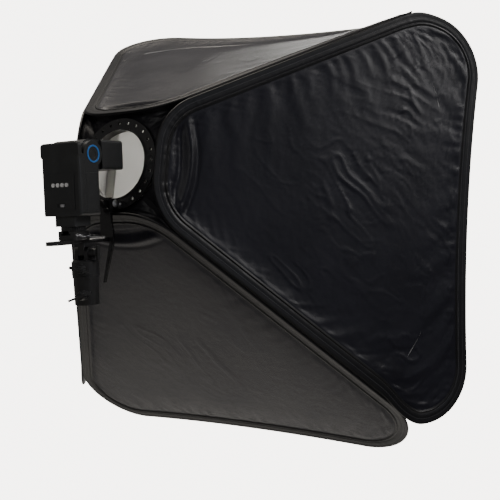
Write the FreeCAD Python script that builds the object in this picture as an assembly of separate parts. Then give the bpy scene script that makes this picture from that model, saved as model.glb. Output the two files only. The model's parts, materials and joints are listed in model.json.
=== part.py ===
"""Collapsible studio softbox with its speed ring, tilting bracket, flash unit and stand head.

The row frame has +Z up, with its origin at the mouth of the stand socket. The softbox shines
towards -Y. The softbox is drawn in a ring frame, whose origin is the ring's centre and whose -Y is
the light's way out, and is then tilted about X and moved to its place.
"""
import FreeCAD, Part
import math
import os

V = FreeCAD.Vector

# ---- clearances and fits -------------------------------------------------------------------
RUN = 0.05             # radial running clearance of pins and shafts
GAP = 0.3              # air between pieces that move past each other
SEAT = 0.2             # air round a piece that sits in a pocket
TIGHT = 0.02           # radial room of screws and pins that don't turn
PAST = 1.0             # how far a cutting tool runs past the face it cuts

# ---- softbox -------------------------------------------------------------------------------
RING_CENTRE = V(0, -88.4, 220)
DROOP = 12.3           # degrees that the box hangs below level
APEX_BACK = 125.0      # from the ring plane back to the point where the four panels would meet
FLARE = 36.5           # degrees between the box's axis and the middle line of a panel
PANEL_START = 140.0    # slant distance from that point to a panel's narrow edge
PANEL_END = 767.0      # and to its wide edge
CORNER_WIDE = 105.0    # corner radius at the wide edge
CORNER_NARROW = 105.0  # corner radius at the narrow edge
EDGE_BOW = 12.0        # how far the wide edge bows inwards at its middle
SKIN = 0.8             # outer nylon
LINING = 0.6           # silver lining
HOOP_R = 1.3           # spring-steel hoop wire
SLEEVE_R = 2.6         # sewn sleeve round the hoop
SEAM_TAPE = 0.5        # webbing between two sleeves
SEAM_DEPTH = 8.0
STITCH_GAP = 0.1       # between a sleeve and the cloth or tape sewn to it
FRONT_RECESS = 56.0    # the diffuser sits this far inside the panels' wide edge, along the axis
SHEET = 1.0            # diffuser, baffle and collar cloth
FRONT_INSET = 6.0      # air between the diffuser's edge and the panels
FRONT_CUT = 54.0       # how much each corner of the diffuser is cut off before its flap
FLAP_CLEAR = 9.0       # air between a flap's tip and the corner of the pyramid
BAND_WIDTH = 22.0      # hook-and-loop band round the diffuser
BAFFLE_AHEAD = 250.0   # inner baffle, ahead of the ring
BAFFLE_HALF = 148.0
BAFFLE_CORNER = 40.0
BINDING = 7.0          # tape round the baffle
STRAP_W = 10.0

# ---- speed ring ----------------------------------------------------------------------------
RING_OPEN_R = 58.0
RING_OUT_R = 78.0
RING_T = 3.0
LIP = 2.0
LIP_BACK = 4.0
LIP_FRONT = 12.0
RING_LIP_R = 76.0      # outside of the lip that the collar's hem grips
HOLE_COUNT = 24
HOLE_PCR = 70.0
HOLE_R = 2.5
HOLE_PHASE = 221.7
FLANGE_GAP = 3.0       # the lip's flange sits this far short of the front lip's edge
FLANGE_T = 1.5
HEM_R = 0.9            # elastic hem of the collar
HEM_AHEAD = 3.0        # the hem, ahead of the ring's face
COLLAR_INSET = 6.0
COLLAR_CUT = 18.0
COLLAR_FLAP = 12.0     # how far the collar's flaps reach past the start of the seams

# ---- hinge between ring and arm ------------------------------------------------------------
HINGE_Y = -64.9
HINGE_Z = 156.0
LUG_R = 7.5
LUG_HALF = 7.0
PIN_R = 4.0
PIN_HEAD = 3.0
RIVET_R = 6.5
SCREW_R = 2.0
BLOCK_T = 4.0          # hinge block's plate on the ring
BLOCK_AIR = 1.5        # between the plate and the ring's inner lip

# ---- bracket -------------------------------------------------------------------------------
STRIP_T = 6.0
STRIP_HALF = 11.0
BEND_R = 9.0
BAR_TOP = 102.0
BAR_BACK = 78.0
SLOT_HALF = 3.3
SLOT_FROM = 8.0
SLOT_TO = 70.0
WEB_AIR = 0.4          # between the hinge lug and the arm's web
ARM_ABOVE = 2.5        # how far the arm stands above its ears
PLATE_SCREW_R = 2.5
PLATE_SCREW_HEAD_R = 4.5
PLATE_SCREW_HEAD_T = 2.8
PLATE_SCREW_DEEP = 4.0
PLATE_SCREW_YS = (-10.0, -1.5)
LEVER_HUB_R = 6.5
LEVER_STUD_R = 3.0
LEVER_DEEP = 12.0
LEVER_T = 4.0
LEVER_SIDE = 5.2       # half the blade's width where it passes the bar
LEVER_DROP = 127.0     # from the hub down to the blade's tip

# ---- swivel head ---------------------------------------------------------------------------
SOCKET_R = 8.05        # takes a 16 mm stand spigot
SOCKET_DEPTH = 40.0
BASE_R = 20.0
BASE_TOP = 46.0
NECK_R = 12.0
NECK_TOP = 60.0
PAN_R = 21.5
PAN_TOP = 70.0
TILT_Z = 81.0
EAR_R = 9.0
TONGUE_HALF = 6.0
EAR_T = 7.0
BOLT_R = 3.0
PLATE_Y = 14.0
WING_TURN = 25.0       # degrees from +Y towards -X at which both wing screws point
WING_SHANK_R = 4.0
WING_T = 3.6
WING_HUB_LONG = 13.0
BOSS_R = 8.5           # boss that the clamp wing screws into
BOSS_PROUD = 3.0
PAN_CHAMFER = 3.0
HANDLE_BAR_R = 3.0     # tilt handle's cross bar
HANDLE_BAR_HALF = 11.0
HANDLE_HUB = 12.0      # how far the tilt handle's hub reaches
PAN_WING_Z = 57.0
CLAMP_WING_Z = 16.0

# ---- shoe and flash ------------------------------------------------------------------------
SHOE_Y = 22.6          # middle of the shoe
SHOE_HALF_X = 17.0
SHOE_HALF_Y = 17.5
SHOE_TOP = 116.0
FOOT_PLATE_HALF = 9.25
FOOT_PLATE_T = 2.0
FOOT_PLATE_Z = 110.0
FOOT_STEM_R = 5.9
FOOT_BLOCK_X = 21.0
FOOT_BLOCK_Y = 18.5
WHEEL_R = 19.0
WHEEL_T = 6.5
WHEEL_TEETH = 36
TOOTH_R = 0.8
CLAMP_R = 2.0          # shoe clamp's stem
CLAMP_IN = 5.0         # from the shoe's front face to the clamp's axis
CLAMP_UP = 3.6         # from the bar up to the clamp's axis
CLAMP_GRIP = 33.0
BODY_HALF = 38.5
BODY_FRONT = 0.0
BODY_BACK = 46.0
BODY_LOW = 139.0
BODY_HIGH = 250.0
BODY_SPLIT = 34.0
BODY_CORNER = 6.5      # round corners seen from behind
WALL = 2.2
BACK_WALL = 7.5        # depth of the tall back that stands behind the head
PIVOT_Y = 13.6
PIVOT_Z = 232.0
HEAD_HALF = 36.0
HEAD_NECK_HALF = 30.5
HEAD_R = 22.7          # half the head's thickness and the radius of its rounded rear
HEAD_FRONT = -58.0
EAR_HEAD_R = 20.0
AXLE_R = 6.0
RING_BADGE_R = 13.5
DOOR_Y0 = 5.0
DOOR_Y1 = 31.0
DOOR_Z0 = 146.0
DOOR_Z1 = 204.0
DOOR_T = 2.0
CELL_R = 7.25
CELL_LEN = 50.5
CELL_STUD = 1.5
CELL_STUD_R = 2.7
CAP_R = 9.0
CAP_LEN = 57.0
CAP_Y = 14.0
BOARD_HALF = 33.0
BOARD_Y = 28.6
BOARD_T = 1.6
PANEL_HALF_X = 28.0
PANEL_Z0 = 148.0
PANEL_Z1 = 203.0
PANEL_T = 0.8
BUTTON_R = 3.0
BUTTON_Z = 186.0
BUTTON_STEP = 9.0
BUTTON_PROUD = 1.6
BUTTON_FLANGE = 1.2    # how far a button's flange stands out inside the shell
SWITCH_Z = 155.0
SWITCH_TRAVEL = 7.0
SWITCH_HALF_X = 3.4
SWITCH_HALF_Z = 2.2
TUBE_R = 2.2
LENS_T = 3.0
BADGE_WIDE = 2.6
BADGE_PROUD = 0.8

# ---- worked-out values ---------------------------------------------------------------------
TAN_FLARE = math.tan(math.radians(FLARE))
SIN_FLARE = math.sin(math.radians(FLARE))
COS_FLARE = math.cos(math.radians(FLARE))
# half-angle of a panel in its own plane: the pyramid has a square section
HALF_ANGLE = math.atan(TAN_FLARE * COS_FLARE)
# half the angle between two neighbouring panels, inside the box
HALF_DIHEDRAL = math.acos(-SIN_FLARE ** 2) / 2
MID_CLOTH = -(SKIN + LINING) / 2
SLEEVE_IN = (SLEEVE_R + SEAM_TAPE / 2 + STITCH_GAP - MID_CLOTH * math.cos(HALF_DIHEDRAL)) \
    / math.sin(HALF_DIHEDRAL)
CLOTH_IN = SLEEVE_IN + SLEEVE_R + STITCH_GAP
FRONT_AXIAL = PANEL_END * COS_FLARE - FRONT_RECESS
# the ears and the pin's head turn inside SWING_HALF, and the block's screws sit outside it
SWING_HALF = STRIP_HALF + PIN_HEAD + GAP
SCREW_X = SWING_HALF + 1.7 * SCREW_R
BLOCK_HALF = SCREW_X + 2.0 * SCREW_R
WING_DIR = V(-math.sin(math.radians(WING_TURN)), math.cos(math.radians(WING_TURN)), 0)


# ---- helpers -------------------------------------------------------------------------------
def save(name, shape):
    """Write one node; several separate solids go in as one compound."""
    shape.exportStep("parts/%s.step" % name)


def box(x0, x1, y0, y1, z0, z1):
    return Part.makeBox(x1 - x0, y1 - y0, z1 - z0, V(x0, y0, z0))


def rod(radius, start, end):
    along = end.sub(start)
    return Part.makeCylinder(radius, along.Length, start, along)


def tube(outer, inner, start, end):
    reach = end.sub(start)
    reach.normalize()
    return rod(outer, start, end).cut(rod(inner, start.sub(reach), end.add(reach)))


def cone(r0, r1, start, end):
    along = end.sub(start)
    return Part.makeCone(r0, r1, along.Length, start, along)


def round_edges(shape, radius, axis):
    """Fillet the straight edges that run along one axis."""
    picked = []
    for edge in shape.Edges:
        if edge.Curve.TypeId != "Part::GeomLine":
            continue
        way = edge.Vertexes[-1].Point.sub(edge.Vertexes[0].Point)
        if way.cross(axis).Length < 1e-6:
            picked.append(edge)
    return shape.makeFillet(radius, picked)


def slab(wire, depth, way):
    return Part.Face(wire).extrude(V(way).multiply(depth))


def ring_frame(shape):
    """Tilt a shape about the ring's centre and move it to its place in the row frame."""
    done = shape.copy()
    done.rotate(V(0, 0, 0), V(1, 0, 0), DROOP)
    done.translate(RING_CENTRE)
    return done


def half_at(axial):
    """Half the pyramid's width at a distance from its point, along the axis."""
    return axial * TAN_FLARE


# ---- one panel, in its own plane -----------------------------------------------------------
# x is the slant distance from the point, y runs along the wide edge, z is outwards
def corner_centres():
    """Centres of the wide and the narrow corner arcs, and of the wide edge's bow."""
    sin_h, cos_h = math.sin(HALF_ANGLE), math.cos(HALF_ANGLE)
    near_x = PANEL_START + CORNER_NARROW
    near = V(near_x, (near_x * sin_h - CORNER_NARROW) / cos_h, 0)
    chord = PANEL_END * math.tan(HALF_ANGLE) * 0.6
    bow_r = (chord ** 2 + EDGE_BOW ** 2) / (2 * EDGE_BOW)
    bow = V(PANEL_END - EDGE_BOW + bow_r, 0, 0)
    low, high = PANEL_END / 2, PANEL_END
    for _ in range(60):
        x = (low + high) / 2
        y = (x * sin_h - CORNER_WIDE) / cos_h
        if math.hypot(bow.x - x, y) > bow_r + CORNER_WIDE:
            low = x
        else:
            high = x
    return near, V(x, y, 0), bow, bow_r


def on_circle(centre, radius, degrees):
    turn = math.radians(degrees)
    return V(centre.x + radius * math.cos(turn), centre.y + radius * math.sin(turn), 0)


def panel_wire(inset):
    """Closed outline of a panel, moved inwards by inset; inset arcs share their centres."""
    near, far, bow, bow_r = corner_centres()
    side = math.degrees(HALF_ANGLE) + 90
    r_near, r_far, r_bow = CORNER_NARROW - inset, CORNER_WIDE - inset, bow_r + inset
    touch = math.degrees(math.atan2(-far.y, bow.x - far.x))
    spots = []
    for sign in (1, -1):
        near_s, far_s = V(near.x, sign * near.y, 0), V(far.x, sign * far.y, 0)
        spots.append([on_circle(near_s, r_near, 180), on_circle(near_s, r_near, sign * (180 + side) / 2),
                      on_circle(near_s, r_near, sign * side), on_circle(far_s, r_far, sign * side),
                      on_circle(far_s, r_far, sign * (side + touch) / 2),
                      on_circle(far_s, r_far, sign * touch)])
    up, down = spots
    edges = [Part.Arc(up[0], up[1], up[2]).toShape(), Part.makeLine(up[2], up[3]),
             Part.Arc(up[3], up[4], up[5]).toShape(),
             Part.Arc(up[5], V(bow.x - r_bow, 0, 0), down[5]).toShape(),
             Part.Arc(down[5], down[4], down[3]).toShape(), Part.makeLine(down[3], down[2]),
             Part.Arc(down[2], down[1], down[0]).toShape(), Part.makeLine(down[0], up[0])]
    return Part.Wire(edges)


def hoop_pipe(radius):
    path = panel_wire(SLEEVE_IN)
    start = path.Edges[0].Vertexes[0].Point
    way = path.Edges[0].tangentAt(path.Edges[0].FirstParameter)
    ring = Part.Wire(Part.makeCircle(radius, start, way))
    return path.makePipeShell([ring], True, False)


def place_panel(shape, turn):
    """Move a flat piece onto its side of the pyramid; turn is its place round the axis."""
    done = shape.copy()
    done.transformShape(FreeCAD.Matrix(SIN_FLARE, 0, COS_FLARE, 0,
                                       -COS_FLARE, 0, SIN_FLARE, APEX_BACK,
                                       0, -1, 0, 0,
                                       0, 0, 0, 1))
    done.rotate(V(0, 0, 0), V(0, 1, 0), turn)
    return ring_frame(done)


def make_panels():
    skin = slab(panel_wire(CLOTH_IN), -SKIN, V(0, 0, 1))
    lining = slab(panel_wire(CLOTH_IN), -LINING, V(0, 0, 1))
    lining.translate(V(0, 0, -SKIN))
    sleeve = hoop_pipe(SLEEVE_R).cut(hoop_pipe(HOOP_R + TIGHT))
    hoop = hoop_pipe(HOOP_R)
    sleeve.translate(V(0, 0, MID_CLOTH))
    hoop.translate(V(0, 0, MID_CLOTH))
    for side, turn in (("left", 0), ("top", -90), ("right", 180), ("bottom", 90)):
        save("panel_" + side, place_panel(skin, turn))
        save("lining_" + side, place_panel(lining, turn))
        save("sleeve_" + side, place_panel(sleeve, turn))
        save("hoop_" + side, place_panel(hoop, turn))


def make_corner_seams():
    """Webbing along each corner of the pyramid, in the gap between two sleeves."""
    near, far = corner_centres()[:2]
    sin_h, cos_h = math.sin(HALF_ANGLE), math.cos(HALF_ANGLE)
    along = math.sqrt(1 + 2 * TAN_FLARE ** 2)
    seams = []
    for q in range(4):
        turn = math.radians(45 + 90 * q)
        out = V(math.cos(turn), 0, math.sin(turn))
        edge = V(out).multiply(TAN_FLARE * math.sqrt(2) / along).add(V(0, -1 / along, 0))
        across = edge.cross(out)
        across.normalize()
        inward = edge.cross(across)
        if inward.dot(out) > 0:
            inward.multiply(-1)
        ends = []
        for centre in (near, far):
            ends.append(centre.x * cos_h + centre.y * sin_h)
        base = V(0, APEX_BACK, 0)
        half = V(across).multiply(SEAM_TAPE / 2)
        a = base.add(V(edge).multiply(ends[0]))
        b = base.add(V(edge).multiply(ends[1]))
        deep = V(inward).multiply(SEAM_DEPTH)
        loop = Part.makePolygon([a.sub(half), b.sub(half), b.sub(half).add(deep),
                                 a.sub(half).add(deep), a.sub(half)])
        seams.append(ring_frame(Part.Face(loop).extrude(V(across).multiply(SEAM_TAPE))))
    save("corner_seams", Part.makeCompound(seams))


# ---- cloths across the pyramid -------------------------------------------------------------
def cross_sheet(axial, inset, cut, seam_axial, seam_inset, backwards):
    """Square cloth across the pyramid with a flap at each corner that reaches to the seam."""
    half, y = half_at(axial) - inset, APEX_BACK - axial
    tip, y_tip = half_at(seam_axial) - seam_inset, APEX_BACK - seam_axial
    flat = cut_square(half, cut, y)
    cloth = slab(flat, SHEET * backwards, V(0, 1, 0))
    for q in range(4):
        flap = Part.makePolygon([V(half, y, half - cut), V(half - cut, y, half),
                                 V(tip, y_tip, tip), V(half, y, half - cut)])
        normal = Part.Face(flap).normalAt(0, 0)
        if normal.x + normal.z > 0:
            normal.multiply(-1)
        piece = slab(flap, SHEET, normal)
        piece.rotate(V(0, 0, 0), V(0, 1, 0), 90 * q)
        cloth = cloth.fuse(piece)
    return cloth.removeSplitter()


def cut_square(half, cut, y):
    points = []
    for sx, sz in ((1, 1), (-1, 1), (-1, -1), (1, -1)):
        pair = [V(sx * half, y, sz * (half - cut)), V(sx * (half - cut), y, sz * half)]
        points += pair if sx * sz > 0 else pair[::-1]
    return Part.makePolygon(points + [points[0]])


def make_front():
    far = corner_centres()[1]
    seam_end = (far.x * math.cos(HALF_ANGLE) + far.y * math.sin(HALF_ANGLE)) \
        / math.sqrt(1 + 2 * TAN_FLARE ** 2)
    cloth = cross_sheet(FRONT_AXIAL, FRONT_INSET, FRONT_CUT, seam_end, FLAP_CLEAR, 1)
    save("front_diffuser", ring_frame(cloth))
    y = APEX_BACK - FRONT_AXIAL
    half = half_at(FRONT_AXIAL) - FRONT_INSET
    outer = slab(cut_square(half, FRONT_CUT, y), -SHEET, V(0, 1, 0))
    inner = slab(cut_square(half - BAND_WIDTH, FRONT_CUT, y + PAST), -SHEET - 2 * PAST, V(0, 1, 0))
    save("diffuser_band", ring_frame(outer.cut(inner).cut(cloth)))


def make_baffle():
    y = -BAFFLE_AHEAD
    outer = rounded_square(BAFFLE_HALF, BAFFLE_CORNER, y, SHEET)
    inner = rounded_square(BAFFLE_HALF - BINDING, BAFFLE_CORNER - BINDING, y, SHEET)
    save("inner_baffle", ring_frame(inner))
    save("baffle_binding", ring_frame(outer.cut(inner)))
    reach = half_at(APEX_BACK + BAFFLE_AHEAD) * math.sqrt(2)
    reach -= SEAM_DEPTH * math.sqrt(1 + 2 * TAN_FLARE ** 2) + STITCH_GAP
    reach -= SHEET * TAN_FLARE * math.sqrt(2)
    start = (BAFFLE_HALF - BAFFLE_CORNER) * math.sqrt(2) + BAFFLE_CORNER
    straps = []
    for q in range(4):
        strap = box(start, reach, y, y + SHEET, -STRAP_W / 2, STRAP_W / 2).cut(outer)
        strap.rotate(V(0, 0, 0), V(0, 1, 0), 45 + 90 * q)
        straps.append(ring_frame(strap))
    save("baffle_straps", Part.makeCompound(straps))


def rounded_square(half, radius, y, depth):
    block = box(-half, half, y, y + depth, -half, half)
    return round_edges(block, radius, V(0, 1, 0))


def make_collar():
    """Cloth between the panels' narrow ends and the ring, with an elastic hem round the ring."""
    near = corner_centres()[0]
    seam_start = (near.x * math.cos(HALF_ANGLE) + near.y * math.sin(HALF_ANGLE)) \
        / math.sqrt(1 + 2 * TAN_FLARE ** 2)
    hem_y = -RING_T / 2 - HEM_AHEAD
    cloth = cross_sheet(APEX_BACK - hem_y, COLLAR_INSET, COLLAR_CUT, seam_start + COLLAR_FLAP, FLAP_CLEAR, -1)
    hole = rod(RING_LIP_R + RUN, V(0, 20, 0), V(0, -20, 0))
    hem = Part.makeTorus(RING_LIP_R + RUN + HEM_R, HEM_R, V(0, hem_y - SHEET / 2, 0), V(0, 1, 0))
    save("back_collar", ring_frame(cloth.cut(hole).fuse(hem)))


# ---- speed ring and hinge ------------------------------------------------------------------
def hinge_in_ring():
    """The hinge pin's place in the ring frame."""
    dy, dz = HINGE_Y - RING_CENTRE.y, HINGE_Z - RING_CENTRE.z
    turn = math.radians(DROOP)
    return V(0, dy * math.cos(turn) + dz * math.sin(turn), -dy * math.sin(turn) + dz * math.cos(turn))


def make_ring():
    face = RING_T / 2
    ring = tube(RING_OUT_R, RING_OPEN_R, V(0, -face, 0), V(0, face, 0))
    ring = ring.fuse(tube(RING_OPEN_R + LIP, RING_OPEN_R, V(0, -LIP_FRONT, 0), V(0, LIP_BACK, 0)))
    flange = -LIP_FRONT + FLANGE_GAP
    ring = ring.fuse(tube(RING_LIP_R, RING_LIP_R - LIP, V(0, flange, 0), V(0, 0, 0)))
    ring = ring.fuse(tube(RING_OUT_R, RING_LIP_R - LIP, V(0, flange, 0), V(0, flange + FLANGE_T, 0)))
    for n in range(HOLE_COUNT):
        turn = math.radians(HOLE_PHASE + 360.0 / HOLE_COUNT * n)
        x, z = HOLE_PCR * math.cos(turn), HOLE_PCR * math.sin(turn)
        if z < 0 and abs(x) < BLOCK_HALF + HOLE_R:
            continue
        ring = ring.cut(rod(HOLE_R, V(x, -face - PAST, z), V(x, face + PAST, z)))
    for sign in (-1, 1):
        at = V(sign * SCREW_X, 0, -math.sqrt(HOLE_PCR ** 2 - SCREW_X ** 2))
        ring = ring.cut(rod(SCREW_R + RUN, at.add(V(0, -face - PAST, 0)), at.add(V(0, face + PAST, 0))))
    save("speed_ring", ring_frame(ring.removeSplitter()))


def make_hinge():
    face = RING_T / 2
    pin = hinge_in_ring()
    low, high = pin.z - LUG_R, -RING_OPEN_R - LIP - BLOCK_AIR
    plate = box(-BLOCK_HALF, BLOCK_HALF, face, face + BLOCK_T, -RING_LIP_R, high)
    plate = round_edges(plate, 2.5, V(0, 1, 0))
    lug = rod(LUG_R, V(-LUG_HALF, pin.y, pin.z), V(LUG_HALF, pin.y, pin.z))
    lug = lug.fuse(box(-LUG_HALF, LUG_HALF, face, pin.y, low, high - 3))
    block = plate.fuse(lug)
    bore = rod(PIN_R + RUN, V(-BLOCK_HALF, pin.y, pin.z), V(BLOCK_HALF, pin.y, pin.z))
    block = block.cut(bore)
    screws = []
    for sign in (-1, 1):
        z = -math.sqrt(HOLE_PCR ** 2 - SCREW_X ** 2)
        inner_end, outer_end = V(sign * SCREW_X, face + BLOCK_T, z), V(sign * SCREW_X, -face, z)
        block = block.cut(rod(SCREW_R + TIGHT, inner_end, outer_end))
        shank = rod(SCREW_R, inner_end, outer_end)
        head = rod(SCREW_R * 1.7, outer_end, V(sign * SCREW_X, -face - 1.6, z))
        screws.append(ring_frame(shank.fuse(head)))
    # the fork's ears turn round the pin, so the plate is cut back where they pass
    swing = rod(LUG_R + GAP, V(-SWING_HALF, pin.y, pin.z), V(SWING_HALF, pin.y, pin.z))
    keep = box(-LUG_HALF, LUG_HALF, -20, 40, -200, 0)
    block = block.cut(swing.cut(keep))
    save("hinge_block", ring_frame(block.removeSplitter()))
    save("hinge_screws", Part.makeCompound(screws))
    # the pin is a rivet: a turned head at one end, and the other end peened over
    shaft = rod(PIN_R, V(-STRIP_HALF, HINGE_Y, HINGE_Z), V(STRIP_HALF, HINGE_Y, HINGE_Z))
    head = rod(RIVET_R, V(STRIP_HALF, HINGE_Y, HINGE_Z), V(STRIP_HALF + PIN_HEAD, HINGE_Y, HINGE_Z))
    peened = cone(RIVET_R, PIN_R, V(-STRIP_HALF, HINGE_Y, HINGE_Z), V(-STRIP_HALF - 2, HINGE_Y, HINGE_Z))
    save("hinge_pin", shaft.fuse([head, peened]).removeSplitter())


# ---- bracket -------------------------------------------------------------------------------
def make_bracket():
    web_front = HINGE_Y + LUG_R + WEB_AIR
    web_back = web_front + STRIP_T
    top = HINGE_Z + LUG_R + ARM_ABOVE
    low = BAR_TOP - STRIP_T
    arm = box(-STRIP_HALF, STRIP_HALF, web_front, web_back, low, top)
    bar = box(-STRIP_HALF, STRIP_HALF, web_front, BAR_BACK - STRIP_HALF, low, BAR_TOP)
    nose = rod(STRIP_HALF, V(0, BAR_BACK - STRIP_HALF, low), V(0, BAR_BACK - STRIP_HALF, BAR_TOP))
    body = arm.fuse(bar).fuse(nose)
    # the strip is bent, so its outer corner is round
    corner = box(-STRIP_HALF - 1, STRIP_HALF + 1, web_front - 1, web_front + BEND_R, low - 1, low + BEND_R)
    body = body.cut(corner.cut(rod(BEND_R, V(-50, web_front + BEND_R, low + BEND_R),
                                   V(50, web_front + BEND_R, low + BEND_R))))
    fillet_r = BEND_R - STRIP_T
    fill = box(-STRIP_HALF, STRIP_HALF, web_back, web_back + fillet_r, BAR_TOP, BAR_TOP + fillet_r)
    body = body.fuse(fill.cut(rod(fillet_r, V(-50, web_back + fillet_r, BAR_TOP + fillet_r),
                                  V(50, web_back + fillet_r, BAR_TOP + fillet_r))))
    ear_t = STRIP_HALF - LUG_HALF - GAP
    for sign in (-1, 1):
        x0, x1 = sorted((sign * STRIP_HALF, sign * (STRIP_HALF - ear_t)))
        ear = rod(LUG_R, V(x0, HINGE_Y, HINGE_Z), V(x1, HINGE_Y, HINGE_Z))
        ear = ear.fuse(box(x0, x1, HINGE_Y, web_front + 1, HINGE_Z - LUG_R, HINGE_Z + LUG_R))
        body = body.fuse(ear)
    body = body.cut(rod(PIN_R + TIGHT, V(-50, HINGE_Y, HINGE_Z), V(50, HINGE_Y, HINGE_Z)))
    body = body.cut(rod(LEVER_STUD_R + RUN, V(0, web_front - 1, HINGE_Z), V(0, web_back + 1, HINGE_Z)))
    slot = box(-SLOT_HALF, SLOT_HALF, SLOT_FROM, SLOT_TO, low - 1, BAR_TOP + 1)
    well = box(-2 * SLOT_HALF, 2 * SLOT_HALF, SLOT_FROM - SLOT_HALF, SLOT_TO + SLOT_HALF, low - 1, low + 3)
    body = body.cut(round_edges(slot, SLOT_HALF * 0.98, V(0, 0, 1)))
    body = body.cut(round_edges(well, SLOT_HALF * 1.9, V(0, 0, 1)))
    screws = []
    for y in PLATE_SCREW_YS:
        body = body.cut(rod(PLATE_SCREW_R + RUN, V(0, y, low - PAST), V(0, y, BAR_TOP + PAST)))
        shank = rod(PLATE_SCREW_R, V(0, y, low - PLATE_SCREW_DEEP), V(0, y, BAR_TOP))
        head = rod(PLATE_SCREW_HEAD_R, V(0, y, BAR_TOP), V(0, y, BAR_TOP + PLATE_SCREW_HEAD_T))
        screws.append(shank.fuse(head))
    save("bracket_screws", Part.makeCompound(screws))
    save("support_arm", body.removeSplitter())
    make_ring_lock(web_back)


def make_ring_lock(web_back):
    """Lever that turns on a stud along Y, whose tip presses on the hinge lug."""
    hub_y0, hub_y1 = web_back + GAP, web_back + LEVER_DEEP
    hub = rod(LEVER_HUB_R, V(0, hub_y0, HINGE_Z), V(0, hub_y1, HINGE_Z))
    stud = rod(LEVER_STUD_R, V(0, HINGE_Y + LUG_R + 0.1, HINGE_Z), V(0, hub_y0, HINGE_Z))
    beside = STRIP_HALF + GAP + LEVER_SIDE
    centre = [(0, HINGE_Z), (-beside * 0.7, HINGE_Z - 15), (-beside, HINGE_Z - 44),
              (-beside, BAR_TOP - STRIP_T - 4), (2.0, HINGE_Z - LEVER_DROP)]
    half = [6.0, LEVER_SIDE, 4.6, 4.0, 2.0]
    left = [V(x - h, hub_y0 + 3, z) for (x, z), h in zip(centre, half)]
    right = [V(x + h, hub_y0 + 3, z) for (x, z), h in zip(centre, half)]
    outline = Part.makePolygon(left + right[::-1] + [left[0]])
    blade = slab(outline, LEVER_T, V(0, 1, 0))
    save("ring_lock_lever", hub.fuse(stud).fuse(blade).removeSplitter())


# ---- swivel head ---------------------------------------------------------------------------
def along_wing(distance, z):
    return V(WING_DIR).multiply(distance).add(V(0, 0, z))


def make_wing(name, z, tip, face, span, tilt):
    """Wing screw: shank, conical hub and two wings; tip and face are distances from the Z axis."""
    shank = rod(WING_SHANK_R, along_wing(tip, z), along_wing(face + 1.0, z))
    hub = cone(8.0, 5.5, along_wing(face + GAP, z), along_wing(face + WING_HUB_LONG, z))
    outline = [(0, -4.5), (span * 0.55, -7.0), (span, -3.0), (span, 3.0), (span * 0.55, 7.0), (0, 4.5)]
    middle = face + WING_HUB_LONG - 1.0
    side = V(WING_DIR.y, -WING_DIR.x, 0)
    wings = []
    for sign in (-1, 1):
        points = [along_wing(middle + d, z - WING_T / 2).add(V(side).multiply(sign * s)) for s, d in outline]
        blade = slab(Part.makePolygon(points + [points[0]]), WING_T, V(0, 0, 1))
        wings.append(blade)
    screw = shank.fuse([hub] + wings)
    screw.rotate(V(0, 0, z), WING_DIR, tilt)
    save(name, screw.removeSplitter())


def make_stand_base():
    body = cone(BASE_R - 1.0, BASE_R, V(0, 0, 0), V(0, 0, BASE_TOP))
    body = body.fuse(tube(BASE_R + 1.0, BASE_R - 3, V(0, 0, BASE_TOP - 4), V(0, 0, BASE_TOP)))
    body = body.fuse(rod(NECK_R, V(0, 0, BASE_TOP - 1), V(0, 0, NECK_TOP)))
    boss = rod(BOSS_R, along_wing(0, CLAMP_WING_Z), along_wing(BASE_R + BOSS_PROUD, CLAMP_WING_Z))
    body = body.fuse(boss)
    body = body.cut(rod(SOCKET_R, V(0, 0, -PAST), V(0, 0, SOCKET_DEPTH)))
    body = body.cut(rod(WING_SHANK_R + RUN, along_wing(0, CLAMP_WING_Z),
                        along_wing(BASE_R + BOSS_PROUD + PAST, CLAMP_WING_Z)))
    save("stand_base", body.removeSplitter())
    make_wing("stand_clamp_wing", CLAMP_WING_Z, SOCKET_R + 0.4, BASE_R + BOSS_PROUD, 19.0, 20.0)


def make_pan_head():
    low = BASE_TOP + GAP
    shoulder = V(0, 0, PAN_TOP - PAN_CHAMFER)
    body = rod(PAN_R, V(0, 0, low), shoulder)
    body = body.fuse(cone(PAN_R, PAN_R - PAN_CHAMFER, shoulder, V(0, 0, PAN_TOP)))
    body = body.cut(rod(NECK_R + RUN, V(0, 0, low - 1), V(0, 0, NECK_TOP + GAP)))
    body = body.cut(rod(WING_SHANK_R + RUN, along_wing(NECK_R - 2, PAN_WING_Z),
                        along_wing(PAN_R + 5, PAN_WING_Z)))
    inner, outer = TONGUE_HALF + GAP, TONGUE_HALF + GAP + EAR_T
    for sign in (-1, 1):
        x0, x1 = sorted((sign * inner, sign * outer))
        ear = rod(EAR_R, V(x0, 0, TILT_Z), V(x1, 0, TILT_Z))
        ear = ear.fuse(box(x0, x1, -EAR_R, EAR_R, PAN_TOP - 1, TILT_Z))
        body = body.fuse(ear)
    body = body.cut(rod(BOLT_R + RUN, V(-50, 0, TILT_Z), V(50, 0, TILT_Z)))
    save("pan_head", body.removeSplitter())
    make_wing("pan_lock_wing", PAN_WING_Z, NECK_R + 0.6, PAN_R + 0.5, 15.0, -15.0)
    head = rod(BOLT_R + 2.5, V(outer, 0, TILT_Z), V(outer + 4, 0, TILT_Z))
    bolt = rod(BOLT_R, V(-outer - 10, 0, TILT_Z), V(outer, 0, TILT_Z))
    save("tilt_bolt", bolt.fuse(head))
    hub = cone(8.0, 6.5, V(-outer - GAP, 0, TILT_Z), V(-outer - HANDLE_HUB, 0, TILT_Z))
    bar_x = -outer - HANDLE_HUB - HANDLE_BAR_R / 2
    bar = rod(HANDLE_BAR_R, V(bar_x, 0, TILT_Z - HANDLE_BAR_HALF), V(bar_x, 0, TILT_Z + HANDLE_BAR_HALF))
    handle = hub.fuse(bar).cut(rod(BOLT_R + RUN, V(-outer, 0, TILT_Z), V(-outer - 10.4, 0, TILT_Z)))
    save("tilt_handle", handle.removeSplitter())


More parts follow.
